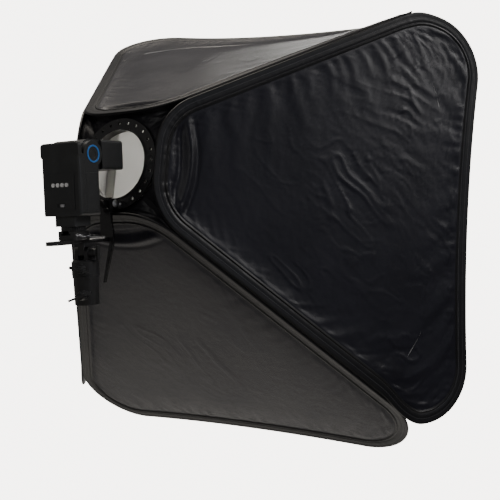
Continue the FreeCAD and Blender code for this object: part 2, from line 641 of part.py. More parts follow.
def make_tilt_block():
    low = TILT_Z + EAR_R + 0.5
    top = BAR_TOP - STRIP_T
    plate = box(-STRIP_HALF, STRIP_HALF, -PLATE_Y, PLATE_Y, low, top)
    plate = round_edges(plate, 3.0, V(0, 0, 1))
    tongue = rod(EAR_R, V(-TONGUE_HALF, 0, TILT_Z), V(TONGUE_HALF, 0, TILT_Z))
    tongue = tongue.fuse(box(-TONGUE_HALF, TONGUE_HALF, -EAR_R, EAR_R, TILT_Z, low + 1))
    block = plate.fuse(tongue)
    block = block.cut(rod(BOLT_R + RUN, V(-50, 0, TILT_Z), V(50, 0, TILT_Z)))
    for y in PLATE_SCREW_YS:
        block = block.cut(rod(PLATE_SCREW_R + TIGHT, V(0, y, top - PLATE_SCREW_DEEP), V(0, y, top + PAST)))
    save("tilt_block", block.removeSplitter())


# ---- shoe and flash foot -------------------------------------------------------------------
def make_shoe():
    y0, y1 = SHOE_Y - SHOE_HALF_Y, SHOE_Y + SHOE_HALF_Y
    shoe = round_edges(box(-SHOE_HALF_X, SHOE_HALF_X, y0, y1, BAR_TOP, SHOE_TOP), 3.0, V(0, 0, 1))
    half = FOOT_PLATE_HALF + SEAT
    stop = SHOE_Y - half
    shoe = shoe.cut(box(-half, half, stop, y1 + 1, FOOT_PLATE_Z - 0.1,
                        FOOT_PLATE_Z + FOOT_PLATE_T + 0.1))
    mouth = FOOT_STEM_R + SEAT
    shoe = shoe.cut(box(-mouth, mouth, SHOE_Y, y1 + 1, FOOT_PLATE_Z, SHOE_TOP + 1))
    shoe = shoe.cut(rod(mouth, V(0, SHOE_Y, FOOT_PLATE_Z), V(0, SHOE_Y, SHOE_TOP + 1)))
    screw_r = SLOT_HALF - 0.1
    shoe = shoe.cut(rod(screw_r + TIGHT, V(0, SHOE_Y, BAR_TOP - 1), V(0, SHOE_Y, BAR_TOP + 5)))
    knob_y, knob_z = y0 + CLAMP_IN, BAR_TOP + CLAMP_UP
    shoe = shoe.cut(rod(CLAMP_R + RUN, V(-SHOE_HALF_X - 1, knob_y, knob_z), V(-4.0, knob_y, knob_z)))
    save("cold_shoe", shoe.removeSplitter())
    low = BAR_TOP - STRIP_T
    shank = rod(screw_r, V(0, SHOE_Y, low + 2.6), V(0, SHOE_Y, BAR_TOP + 4.8))
    save("shoe_screw", shank.fuse(rod(screw_r * 1.8, V(0, SHOE_Y, low + 0.4), V(0, SHOE_Y, low + 2.6))))
    stem = rod(CLAMP_R, V(-SHOE_HALF_X - 2, knob_y, knob_z), V(-4.4, knob_y, knob_z))
    grip = cone(3.4, 5.2, V(-SHOE_HALF_X - GAP, knob_y, knob_z), V(-SHOE_HALF_X - 8, knob_y, knob_z))
    grip = grip.fuse(cone(5.2, 1.8, V(-SHOE_HALF_X - 8, knob_y, knob_z),
                          V(-SHOE_HALF_X - CLAMP_GRIP, knob_y, knob_z)))
    save("shoe_clamp_handle", stem.fuse(grip).removeSplitter())


def make_foot():
    half = FOOT_PLATE_HALF
    plate = box(-half, half, SHOE_Y - half, SHOE_Y + half, FOOT_PLATE_Z, FOOT_PLATE_Z + FOOT_PLATE_T)
    stem = rod(FOOT_STEM_R, V(0, SHOE_Y, FOOT_PLATE_Z + 1), V(0, SHOE_Y, BODY_LOW - 2))
    wheel_low = SHOE_TOP + GAP
    wheel_top = wheel_low + WHEEL_T
    block = round_edges(box(-FOOT_BLOCK_X, FOOT_BLOCK_X, SHOE_Y - FOOT_BLOCK_Y, SHOE_Y + FOOT_BLOCK_Y,
                            wheel_top + GAP, BODY_LOW), 4.0, V(0, 0, 1))
    save("flash_foot", plate.fuse(stem).fuse(block).removeSplitter())
    wheel = rod(WHEEL_R, V(0, SHOE_Y, wheel_low), V(0, SHOE_Y, wheel_top))
    wheel = wheel.cut(rod(FOOT_STEM_R + RUN, V(0, SHOE_Y, wheel_low - 1), V(0, SHOE_Y, wheel_top + 1)))
    for n in range(WHEEL_TEETH):
        turn = 2 * math.pi * n / WHEEL_TEETH
        at = V(WHEEL_R * math.cos(turn), SHOE_Y + WHEEL_R * math.sin(turn), wheel_low - 1)
        wheel = wheel.cut(rod(TOOTH_R, at, at.add(V(0, 0, WHEEL_T + 2))))
    save("lock_wheel", wheel)


# ---- flash body ----------------------------------------------------------------------------
def make_body():
    main = box(-BODY_HALF, BODY_HALF, BODY_FRONT, BODY_BACK, BODY_LOW, PIVOT_Z)
    main = round_edges(main, 5.0, V(0, 0, 1))
    back = box(-BODY_HALF, BODY_HALF, BODY_BACK - BACK_WALL, BODY_BACK, PIVOT_Z - 5, BODY_HIGH)
    back = round_edges(back, 3.4, V(1, 0, 0))
    seen = box(-BODY_HALF, BODY_HALF, BODY_FRONT, BODY_BACK, BODY_LOW, BODY_HIGH)
    ears = rod(EAR_HEAD_R, V(-BODY_HALF, PIVOT_Y, PIVOT_Z), V(BODY_HALF, PIVOT_Y, PIVOT_Z))
    outer = main.fuse(back).common(round_edges(seen, BODY_CORNER, V(0, 1, 0))).fuse(ears)
    inside = box(-BODY_HALF + WALL, BODY_HALF - WALL, BODY_FRONT + WALL, BODY_BACK - WALL,
                 BODY_LOW + WALL, PIVOT_Z - HEAD_R - GAP - WALL)
    inside = round_edges(inside, BODY_CORNER - WALL, V(0, 1, 0))
    well = rod(HEAD_R + GAP + 0.1, V(-HEAD_NECK_HALF - GAP, PIVOT_Y, PIVOT_Z),
               V(HEAD_NECK_HALF + GAP, PIVOT_Y, PIVOT_Z))
    well = well.fuse(box(-HEAD_NECK_HALF - GAP, HEAD_NECK_HALF + GAP, -60, PIVOT_Y,
                         PIVOT_Z - HEAD_R - GAP - 0.1, 400))
    well = well.fuse(box(-HEAD_NECK_HALF - GAP, HEAD_NECK_HALF + GAP, PIVOT_Y,
                         PIVOT_Y + HEAD_R + GAP + 0.1, PIVOT_Z, 400))
    whole = outer.cut(inside).cut(well)
    whole = whole.cut(rod(AXLE_R + RUN, V(-60, PIVOT_Y, PIVOT_Z), V(60, PIVOT_Y, PIVOT_Z)))
    front = whole.common(box(-60, 60, -60, BODY_SPLIT, 0, 400))
    rear = whole.common(box(-60, 60, BODY_SPLIT, 60, 0, 400))
    front = front.cut(box(-BODY_HALF - 1, -BODY_HALF + WALL + 1, DOOR_Y0 - SEAT, DOOR_Y1 + SEAT,
                          DOOR_Z0 - SEAT, DOOR_Z1 + SEAT))
    for n in range(4):
        x = (n - 1.5) * BUTTON_STEP
        rear = rear.cut(rod(BUTTON_R + RUN, V(x, BODY_BACK - 10, BUTTON_Z), V(x, BODY_BACK + 1, BUTTON_Z)))
    save("front_shell", front.removeSplitter())
    save("rear_shell", rear.removeSplitter())


def make_controls():
    panel = box(-PANEL_HALF_X, PANEL_HALF_X, BODY_BACK, BODY_BACK + PANEL_T, PANEL_Z0, PANEL_Z1)
    panel = round_edges(panel, 3.0, V(0, 1, 0))
    lane_x, lane_z = SWITCH_TRAVEL / 2 + SWITCH_HALF_X + SEAT, SWITCH_HALF_Z + SEAT
    panel = panel.cut(box(-lane_x, lane_x, BODY_BACK - PAST, BODY_BACK + 2 * PAST,
                          SWITCH_Z - lane_z, SWITCH_Z + lane_z))
    for n in range(4):
        x = (n - 1.5) * BUTTON_STEP
        panel = panel.cut(rod(BUTTON_R + RUN, V(x, BODY_BACK - 1, BUTTON_Z), V(x, BODY_BACK + 2, BUTTON_Z)))
        button = rod(BUTTON_R, V(x, BODY_BACK - WALL - 1.0, BUTTON_Z),
                     V(x, BODY_BACK + PANEL_T + BUTTON_PROUD, BUTTON_Z))
        flange = rod(BUTTON_R + BUTTON_FLANGE, V(x, BODY_BACK - WALL - 1.4, BUTTON_Z),
                     V(x, BODY_BACK - WALL - 0.1, BUTTON_Z))
        save("button_%d" % (n + 1), button.fuse(flange))
    save("control_panel", panel)
    off_x = -SWITCH_TRAVEL / 2
    knob = box(off_x - SWITCH_HALF_X, off_x + SWITCH_HALF_X, BODY_BACK + RUN,
               BODY_BACK + PANEL_T + BUTTON_PROUD, SWITCH_Z - SWITCH_HALF_Z, SWITCH_Z + SWITCH_HALF_Z)
    save("power_switch", round_edges(knob, 1.0, V(0, 1, 0)))


def make_battery_bay():
    door = box(-BODY_HALF, -BODY_HALF + DOOR_T, DOOR_Y0, DOOR_Y1, DOOR_Z0, DOOR_Z1)
    save("battery_door", round_edges(door, 1.5, V(1, 0, 0)))
    cells = []
    left = -BODY_HALF + WALL + 1.5
    for n in range(4):
        z = DOOR_Z0 + CELL_R + 0.1 + n * (2 * CELL_R + 0.1)
        y = (DOOR_Y0 + DOOR_Y1) / 2 - 4.0
        shoulder = left + CELL_LEN - CELL_STUD
        cell = rod(CELL_R, V(left, y, z), V(shoulder, y, z))
        cells.append(cell.fuse(rod(CELL_STUD_R, V(shoulder, y, z), V(left + CELL_LEN, y, z))))
    save("battery_cells", Part.makeCompound(cells))
    x, z = BODY_HALF - WALL - CAP_R - 1.5, BODY_LOW + WALL + 3
    save("flash_capacitor", rod(CAP_R, V(x, CAP_Y, z), V(x, CAP_Y, z + CAP_LEN)))
    board = box(-BOARD_HALF, BOARD_HALF, BOARD_Y, BOARD_Y + BOARD_T,
                BODY_LOW + WALL + 2, PIVOT_Z - HEAD_R - WALL - 4)
    save("circuit_board", board)


def make_flash_head():
    neck_front = PIVOT_Y - EAR_HEAD_R - 3.0
    shell = box(-HEAD_HALF, HEAD_HALF, HEAD_FRONT, neck_front, PIVOT_Z - HEAD_R, PIVOT_Z + HEAD_R)
    shell = round_edges(shell, 4.0, V(0, 1, 0))
    neck = box(-HEAD_NECK_HALF, HEAD_NECK_HALF, neck_front, PIVOT_Y, PIVOT_Z - HEAD_R, PIVOT_Z + HEAD_R)
    neck = neck.fuse(rod(HEAD_R, V(-HEAD_NECK_HALF, PIVOT_Y, PIVOT_Z), V(HEAD_NECK_HALF, PIVOT_Y, PIVOT_Z)))
    room = box(-HEAD_HALF + WALL, HEAD_HALF - WALL, HEAD_FRONT - 1, neck_front - WALL,
               PIVOT_Z - HEAD_R + WALL, PIVOT_Z + HEAD_R - WALL)
    room = round_edges(room, 2.0, V(0, 1, 0))
    hollow = rod(HEAD_R - WALL, V(-HEAD_NECK_HALF + WALL, PIVOT_Y, PIVOT_Z),
                 V(HEAD_NECK_HALF - WALL, PIVOT_Y, PIVOT_Z))
    shell = shell.fuse(neck).cut(room).cut(hollow)
    shell = shell.cut(rod(AXLE_R + TIGHT, V(-60, PIVOT_Y, PIVOT_Z), V(60, PIVOT_Y, PIVOT_Z)))
    save("head_shell", shell.removeSplitter())
    half_x, half_z = HEAD_HALF - WALL - SEAT, HEAD_R - WALL - SEAT
    lens = box(-half_x, half_x, HEAD_FRONT, HEAD_FRONT + LENS_T, PIVOT_Z - half_z, PIVOT_Z + half_z)
    save("head_lens", round_edges(lens, 2.0, V(0, 1, 0)))
    back = neck_front - WALL - 1.0
    trough = box(-half_x + 1, half_x - 1, HEAD_FRONT + LENS_T + 1, back,
                 PIVOT_Z - half_z + 1, PIVOT_Z + half_z - 1)
    bowl_r = half_z - 2.5
    bowl_y = back - bowl_r - 1.5
    trough = trough.cut(rod(bowl_r, V(-half_x + 3, bowl_y, PIVOT_Z), V(half_x - 3, bowl_y, PIVOT_Z)))
    trough = trough.cut(box(-half_x + 3, half_x - 3, HEAD_FRONT, bowl_y, PIVOT_Z - bowl_r, PIVOT_Z + bowl_r))
    save("head_reflector", trough.removeSplitter())
    save("flash_tube", rod(TUBE_R, V(-half_x + 3.5, bowl_y, PIVOT_Z), V(half_x - 3.5, bowl_y, PIVOT_Z)))
    save("head_axle", rod(AXLE_R, V(-BODY_HALF + 0.6, PIVOT_Y, PIVOT_Z), V(BODY_HALF - 0.6, PIVOT_Y, PIVOT_Z)))
    badges = []
    for sign in (-1, 1):
        inner_end = V(sign * BODY_HALF, PIVOT_Y, PIVOT_Z)
        outer_end = V(sign * (BODY_HALF + BADGE_PROUD), PIVOT_Y, PIVOT_Z)
        badges.append(tube(RING_BADGE_R, RING_BADGE_R - BADGE_WIDE, inner_end, outer_end))
    save("pivot_rings", Part.makeCompound(badges))


def main():
    os.makedirs("parts", exist_ok=True)
    make_panels()
    make_corner_seams()
    make_front()
    make_baffle()
    make_collar()
    make_ring()
    make_hinge()
    make_bracket()
    make_stand_base()
    make_pan_head()
    make_tilt_block()
    make_shoe()
    make_foot()
    make_body()
    make_controls()
    make_battery_bay()
    make_flash_head()


main()
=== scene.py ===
"""Collapsible studio softbox, seen from behind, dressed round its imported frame.

The cloth is worked out on grids in each panel's own plane, settled by a short cloth simulation, and
then set on its side of a tilted pyramid. Hard pieces keep their frame meshes and get their finishes.
"""
import json
import logging
import math
from dataclasses import dataclass, field
from enum import Enum

import bpy
import numpy as np
from mathutils import Matrix, Vector


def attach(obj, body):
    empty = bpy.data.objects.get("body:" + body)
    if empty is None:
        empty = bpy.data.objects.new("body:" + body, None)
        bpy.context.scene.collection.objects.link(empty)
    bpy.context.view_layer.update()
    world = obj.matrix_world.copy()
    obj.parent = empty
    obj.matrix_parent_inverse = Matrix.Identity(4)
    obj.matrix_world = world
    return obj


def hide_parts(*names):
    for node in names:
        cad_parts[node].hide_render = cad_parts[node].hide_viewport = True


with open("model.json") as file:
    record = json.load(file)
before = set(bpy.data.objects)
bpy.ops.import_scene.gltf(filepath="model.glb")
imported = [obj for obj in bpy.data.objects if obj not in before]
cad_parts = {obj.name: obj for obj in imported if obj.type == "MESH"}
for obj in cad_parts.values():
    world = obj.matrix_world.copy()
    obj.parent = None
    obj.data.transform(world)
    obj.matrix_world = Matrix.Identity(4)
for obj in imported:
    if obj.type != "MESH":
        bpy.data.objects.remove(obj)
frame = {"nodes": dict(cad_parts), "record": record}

LOG = logging.getLogger("softbox")
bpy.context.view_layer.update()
MM = 0.001
SIDES = {"left": 0.0, "top": -90.0, "right": 180.0, "bottom": 90.0}


# ---------------------------------------------------------------------------------------------
# Meshes worked out as arrays
# ---------------------------------------------------------------------------------------------
def grid_mesh(name: str, points: np.ndarray, close_rows: bool = False, close_cols: bool = False,
              uv: np.ndarray | None = None) -> bpy.types.Object:
    """Join a grid of points into quads; a face turns from the row direction to the column one.

    Args:
        name: name of the new object.
        points: array of rows x columns x 3, in metres.
        close_rows: join the last row to the first.
        close_cols: join the last column to the first.
        uv: array of rows x columns x 2 in metres, or None.

    Returns:
        The linked object.
    """
    rows, cols = points.shape[:2]
    i = np.arange(rows if close_rows else rows - 1)
    j = np.arange(cols if close_cols else cols - 1)
    a, b = np.meshgrid(i, j, indexing="ij")
    a1, b1 = a + 1, b + 1
    quads = np.stack([a % rows * cols + b % cols, a1 % rows * cols + b % cols,
                      a1 % rows * cols + b1 % cols, a % rows * cols + b1 % cols], axis=-1).reshape(-1, 4)
    mesh = mesh_from_arrays(name, points.reshape(-1, 3), quads)
    if uv is not None:
        step = np.diff(uv, axis=0)[-1:] if close_rows else np.zeros((0, cols, 2))
        wide = np.concatenate([uv, uv[-1:] + step], axis=0) if close_rows else uv
        if close_cols:
            wide = np.concatenate([wide, 2 * wide[:, -1:] - wide[:, -2:-1]], axis=1)
        corner = np.stack([wide[a, b], wide[a1, b], wide[a1, b1], wide[a, b1]], axis=2)
        layer = mesh.uv_layers.new(name="cloth")
        layer.data.foreach_set("uv", corner.astype(np.float32).ravel())
    return link(name, mesh)


def mesh_from_arrays(name: str, verts: np.ndarray, quads: np.ndarray) -> bpy.types.Mesh:
    """Put arrays of vertices and quads into a smooth-shaded mesh."""
    mesh = bpy.data.meshes.new(name)
    mesh.vertices.add(len(verts))
    mesh.vertices.foreach_set("co", verts.astype(np.float32).ravel())
    mesh.loops.add(quads.size)
    mesh.loops.foreach_set("vertex_index", quads.astype(np.int32).ravel())
    mesh.polygons.add(len(quads))
    mesh.polygons.foreach_set("loop_start", np.arange(0, quads.size, 4, dtype=np.int32))
    mesh.polygons.foreach_set("use_smooth", np.ones(len(quads), dtype=bool))
    mesh.update(calc_edges=True)
    mesh.validate()
    return mesh


def link(name: str, mesh: bpy.types.Mesh) -> bpy.types.Object:
    """Make an object of a mesh and put it in the scene."""
    piece = bpy.data.objects.new(name, mesh)
    bpy.context.scene.collection.objects.link(piece)
    return piece


def face_outwards(piece: bpy.types.Object) -> None:
    """Turn a closed mesh's faces outwards: its signed volume is made positive."""
    mesh = piece.data
    mesh.calc_loop_triangles()
    tris = np.empty(len(mesh.loop_triangles) * 3, dtype=np.int32)
    mesh.loop_triangles.foreach_get("vertices", tris)
    co = read_points(piece)
    p = co[tris.reshape(-1, 3)]
    if np.einsum("ij,ij->i", p[:, 0], np.cross(p[:, 1], p[:, 2])).sum() < 0:
        mesh.flip_normals()


def read_points(piece: bpy.types.Object) -> np.ndarray:
    """Vertices of a mesh object as an array of n x 3."""
    co = np.empty(len(piece.data.vertices) * 3, dtype=np.float32)
    piece.data.vertices.foreach_get("co", co)
    return co.reshape(-1, 3).astype(float)


def value_noise(x: np.ndarray, y: np.ndarray, cell: float, seed: int) -> np.ndarray:
    """Smooth noise from -1 to 1: random lattice values, blended by 6t^5 - 15t^4 + 10t^3.

    Args:
        x: first coordinates.
        y: second coordinates, the same shape.
        cell: lattice spacing.
        seed: seed of the lattice.

    Returns:
        An array of the same shape.
    """
    gx, gy = x / cell + 64.37, y / cell + 64.71
    ix, iy = np.floor(gx).astype(int), np.floor(gy).astype(int)
    fx, fy = gx - ix, gy - iy
    lattice = np.random.default_rng(seed).uniform(-1, 1, (256, 256))
    ux, uy = (f ** 3 * (f * (f * 6 - 15) + 10) for f in (fx, fy))
    ix, iy = ix % 255, iy % 255
    low = lattice[ix, iy] * (1 - ux) + lattice[ix + 1, iy] * ux
    high = lattice[ix, iy + 1] * (1 - ux) + lattice[ix + 1, iy + 1] * ux
    return low * (1 - uy) + high * uy


def smooth_step(x: np.ndarray, low: float, high: float) -> np.ndarray:
    """Rise from 0 at low to 1 at high as 3t^2 - 2t^3."""
    t = np.clip((x - low) / (high - low), 0, 1)
    return t * t * (3 - 2 * t)


def refine(values: np.ndarray, factor: int) -> np.ndarray:
    """Put factor - 1 points between each two rows and columns by a Catmull-Rom curve."""
    for axis in (0, 1):
        v = np.moveaxis(values, axis, 0)
        n = len(v)
        t = np.arange((n - 1) * factor + 1) / factor
        i = np.minimum(t.astype(int), n - 2)
        f = (t - i).reshape(-1, *([1] * (v.ndim - 1)))
        first, last = 2 * v[0] - v[1], 2 * v[-1] - v[-2]
        pad = np.concatenate([first[None], v, last[None]])
        p0, p1, p2, p3 = pad[i], pad[i + 1], pad[i + 2], pad[i + 3]
        v = p1 + 0.5 * f * (p2 - p0 + f * (2 * p0 - 5 * p1 + 4 * p2 - p3 + f * (3 * (p1 - p2) + p3 - p0)))
        values = np.moveaxis(v, 0, axis)
    return values


# ---------------------------------------------------------------------------------------------
# Finishes
# ---------------------------------------------------------------------------------------------
class Wiring:
    """Node tree of one material, with short calls for the nodes that every finish uses."""

    def __init__(self, name: str) -> None:
        """Start an empty node tree with its shader."""
        self.material = bpy.data.materials.new(name)
        self.material.use_nodes = True
        self.nodes = self.material.node_tree.nodes
        self.links = self.material.node_tree.links
        self.shader = self.nodes["Principled BSDF"]

    def add(self, kind: str, **settings: object) -> bpy.types.Node:
        """Add a node; settings are its properties, and in_NAME or in_INDEX its socket values."""
        node = self.nodes.new(kind)
        for key, value in settings.items():
            if key.startswith("in_"):
                socket = key[3:].replace("_", " ")
                node.inputs[int(socket) if socket.isdigit() else socket].default_value = value
            else:
                setattr(node, key, value)
        return node

    def join(self, source: bpy.types.NodeSocket, node: bpy.types.Node, socket: str | int) -> None:
        """Link an output to a node's input."""
        self.links.new(source, node.inputs[socket])

    def coordinates(self, by_cloth: bool, scale: tuple[float, float, float]) -> bpy.types.NodeSocket:
        """Object coordinates, or the piece's own cloth map, times scale."""
        spot = self.add("ShaderNodeTexCoord")
        mapping = self.add("ShaderNodeMapping", in_Scale=scale)
        self.join(spot.outputs["UV" if by_cloth else "Object"], mapping, "Vector")
        return mapping.outputs["Vector"]

    def noise(self, vector: bpy.types.NodeSocket, scale: float, detail: float = 3.0,
              kind: str = "FBM") -> bpy.types.NodeSocket:
        """Noise of a scale in features per metre."""
        node = self.add("ShaderNodeTexNoise", noise_type=kind, in_Scale=scale, in_Detail=detail)
        self.join(vector, node, "Vector")
        return node.outputs["Fac"]

    def ramp(self, value: bpy.types.NodeSocket, low: float, high: float,
             to_low: float, to_high: float) -> bpy.types.NodeSocket:
        """Map a value from low..high to another range."""
        node = self.add("ShaderNodeMapRange", in_From_Min=low, in_From_Max=high,
                        in_To_Min=to_low, in_To_Max=to_high)
        self.join(value, node, "Value")
        return node.outputs["Result"]

    def maths(self, operation: str, first: bpy.types.NodeSocket,
              second: bpy.types.NodeSocket | float = 0.0) -> bpy.types.NodeSocket:
        """One Math node."""
        node = self.add("ShaderNodeMath", operation=operation)
        self.join(first, node, 0)
        if isinstance(second, float):
            node.inputs[1].default_value = second
        else:
            self.join(second, node, 1)
        return node.outputs["Value"]

    def blend(self, amount: bpy.types.NodeSocket, low: tuple, high: tuple) -> bpy.types.NodeSocket:
        """Mix two colours."""
        node = self.add("ShaderNodeMix", data_type="RGBA", in_6=(*low, 1.0), in_7=(*high, 1.0))
        self.join(amount, node, 0)
        return node.outputs[2]

    def bump(self, height: bpy.types.NodeSocket, strength: float, distance: float,
             under: bpy.types.NodeSocket | None = None) -> bpy.types.NodeSocket:
        """Bump node; under is the normal below it."""
        node = self.add("ShaderNodeBump", in_Strength=strength, in_Distance=distance)
        self.join(height, node, "Height")
        if under is not None:
            self.join(under, node, "Normal")
        return node.outputs["Normal"]

    def set(self, **values: object) -> None:
        """Set constants on the shader's own sockets."""
        for key, value in values.items():
            self.shader.inputs[key.replace("_", " ")].default_value = value


class Weave(Enum):
    """Thread pitches of the cloths, in threads per metre."""

    NYLON = 2200.0
    TAPE = 900.0
    ELASTIC = 700.0
    DIFFUSION = 1600.0


@dataclass(frozen=True)
class ClothFinish:
    """Woven cloth: two crossing waves for the threads, with fine crumples and slow colour change.

    Attributes:
        name: material name.
        colour: thread colour.
        worn: colour where it is dusty or faded.
        rough: shader roughness.
        weave: thread pitch.
        crumple: depth of the fine crumples, in metres.
        sheen: sheen weight.
        clear: share of light that goes through.
        stitch_at: distance across the tape to its stitch line, in metres, or 0 for none.
    """

    name: str
    colour: tuple[float, float, float]
    worn: tuple[float, float, float]
    rough: float
    weave: Weave
    crumple: float = 0.0006
    sheen: float = 0.1
    clear: float = 0.0
    stitch_at: tuple[float, ...] = ()

    def make(self) -> bpy.types.Material:
        """Build the material.

        Returns:
            The material.
        """
        w = Wiring(self.name)
        cloth = w.coordinates(True, (1.0, 1.0, 1.0))
        place = w.coordinates(False, (1.0, 1.0, 1.0))
        parts = w.add("ShaderNodeSeparateXYZ")
        w.join(cloth, parts, 0)
        threads = []
        for axis in (0, 1):
            turn = w.maths("MULTIPLY", parts.outputs[axis], self.weave.value * math.pi)
            threads.append(w.maths("ABSOLUTE", w.maths("SINE", turn)))
        height = w.maths("MULTIPLY", threads[0], threads[1])
        slow = w.noise(place, 9.0, 4.0)
        base = w.blend(w.ramp(slow, 0.35, 0.75, 0.0, 1.0), self.colour, self.worn)
        normal = None
        if self.crumple > 0:
            fine = w.noise(cloth, 70.0, 5.0)
            ridged = w.noise(cloth, 34.0, 4.0, "RIDGED_MULTIFRACTAL")
            normal = w.bump(w.maths("ADD", fine, w.maths("MULTIPLY", ridged, 0.9)), 0.7, self.crumple)
        normal = w.bump(height, 0.35, 0.00012, normal)
        if self.stitch_at:
            normal, base = self.stitches(w, parts, normal, base)
        w.join(base, w.shader, "Base Color")
        w.join(normal, w.shader, "Normal")
        w.join(w.ramp(slow, 0.3, 0.8, self.rough - 0.05, self.rough + 0.07), w.shader, "Roughness")
        w.set(Sheen_Weight=self.sheen, Sheen_Roughness=0.4, Sheen_Tint=(0.75, 0.76, 0.9, 1.0))
        w.set(Transmission_Weight=self.clear, IOR=1.3)
        return w.material

    def stitches(self, w: Wiring, parts: bpy.types.Node, normal: bpy.types.NodeSocket,
                 base: bpy.types.NodeSocket) -> tuple[bpy.types.NodeSocket, bpy.types.NodeSocket]:
        """Lay rows of stitches along the tape: dashes 2.6 mm long every 4 mm.

        Args:
            w: the material's nodes.
            parts: the cloth map's separate coordinates.
            normal: the normal so far.
            base: the colour so far.

        Returns:
            The new normal and colour.
        """
        dash = w.maths("LESS_THAN", w.maths("FRACT", w.maths("MULTIPLY", parts.outputs[0], 250.0)), 0.65)
        rows = None
        for place in self.stitch_at:
            off = w.maths("ABSOLUTE", w.maths("SUBTRACT", parts.outputs[1], place))
            row = w.maths("LESS_THAN", off, 0.0005)
            rows = row if rows is None else w.maths("MAXIMUM", rows, row)
        thread = w.maths("MULTIPLY", rows, dash)
        mix = w.add("ShaderNodeMix", data_type="RGBA", in_7=(0.05, 0.05, 0.055, 1.0))
        w.join(thread, mix, 0)
        w.join(base, mix, 6)
        return w.bump(thread, 0.8, 0.0004, normal), mix.outputs[2]


class Grain(Enum):
    """How a hard surface is broken up: noise scale per metre and bump depth in metres."""

    PAINT = (900.0, 0.00003)
    MOULDED = (2600.0, 0.00006)
    CAST = (1200.0, 0.00012)
    MACHINED = (400.0, 0.00001)
    SMOOTH = (200.0, 0.000002)


@dataclass(frozen=True)
class HardFinish:
    """Paint, moulded plastic or metal, with rounded edges, grain and rubbed patches.

    Attributes:
        name: material name.
        colour: main colour.
        rubbed: colour where hands have polished it.
        rough: shader roughness.
        grain: surface grain.
        metallic: 0 or 1.
        coat: clear coat weight.
        edge: radius that sharp edges are rounded to, in metres.
        clear: share of light that goes through.
    """

    name: str
    colour: tuple[float, float, float]
    rubbed: tuple[float, float, float]
    rough: float
    grain: Grain = Grain.MOULDED
    metallic: float = 0.0
    coat: float = 0.0
    edge: float = 0.0005
    clear: float = 0.0

    def make(self) -> bpy.types.Material:
        """Build the material.

        Returns:
            The material.
        """
        w = Wiring(self.name)
        place = w.coordinates(False, (1.0, 1.0, 1.0))
        scale, depth = self.grain.value
        slow = w.noise(place, 38.0, 5.0)
        patches = w.ramp(slow, 0.48, 0.72, 0.0, 1.0)
        w.join(w.blend(patches, self.colour, self.rubbed), w.shader, "Base Color")
        w.join(w.ramp(slow, 0.3, 0.8, self.rough + 0.06, max(self.rough - 0.06, 0.02)), w.shader,
               "Roughness")
        rounded = w.add("ShaderNodeBevel", samples=4, in_Radius=self.edge)
        w.join(w.bump(w.noise(place, scale, 2.0), 0.6, depth, rounded.outputs["Normal"]), w.shader,
               "Normal")
        w.set(Metallic=self.metallic, Coat_Weight=self.coat, Coat_Roughness=0.12)
        w.set(Transmission_Weight=self.clear, IOR=1.49)
        return w.material


BLACK_NYLON = ClothFinish("black nylon", (0.006, 0.006, 0.010), (0.009, 0.009, 0.015), 0.36, Weave.NYLON,
                          sheen=0.04)
BLACK_TAPE = ClothFinish("black binding tape", (0.005, 0.005, 0.006), (0.009, 0.009, 0.010), 0.36,
                         Weave.TAPE, crumple=0.0003, sheen=0.02, stitch_at=(0.0110, 0.0200))
PLAIN_TAPE = ClothFinish("black webbing", (0.006, 0.006, 0.007), (0.011, 0.011, 0.012), 0.5, Weave.TAPE,
                         crumple=0.0002)
COLLAR_CLOTH = ClothFinish("black collar cloth", (0.006, 0.006, 0.008), (0.014, 0.013, 0.016), 0.42,
                           Weave.NYLON, crumple=0.0016, sheen=0.05)
SILVER_CLOTH = ClothFinish("silver lining", (0.8, 0.8, 0.8), (0.7, 0.7, 0.72), 0.38, Weave.NYLON,
                           sheen=0.0)
WHITE_CLOTH = ClothFinish("white diffusion cloth", (0.92, 0.92, 0.9), (0.88, 0.87, 0.84), 0.75,
                          Weave.DIFFUSION, crumple=0.0002, sheen=0.2, clear=0.35)
ELASTIC = ClothFinish("black elastic", (0.01, 0.01, 0.01), (0.03, 0.03, 0.03), 0.7, Weave.ELASTIC,
                      crumple=0.0002)
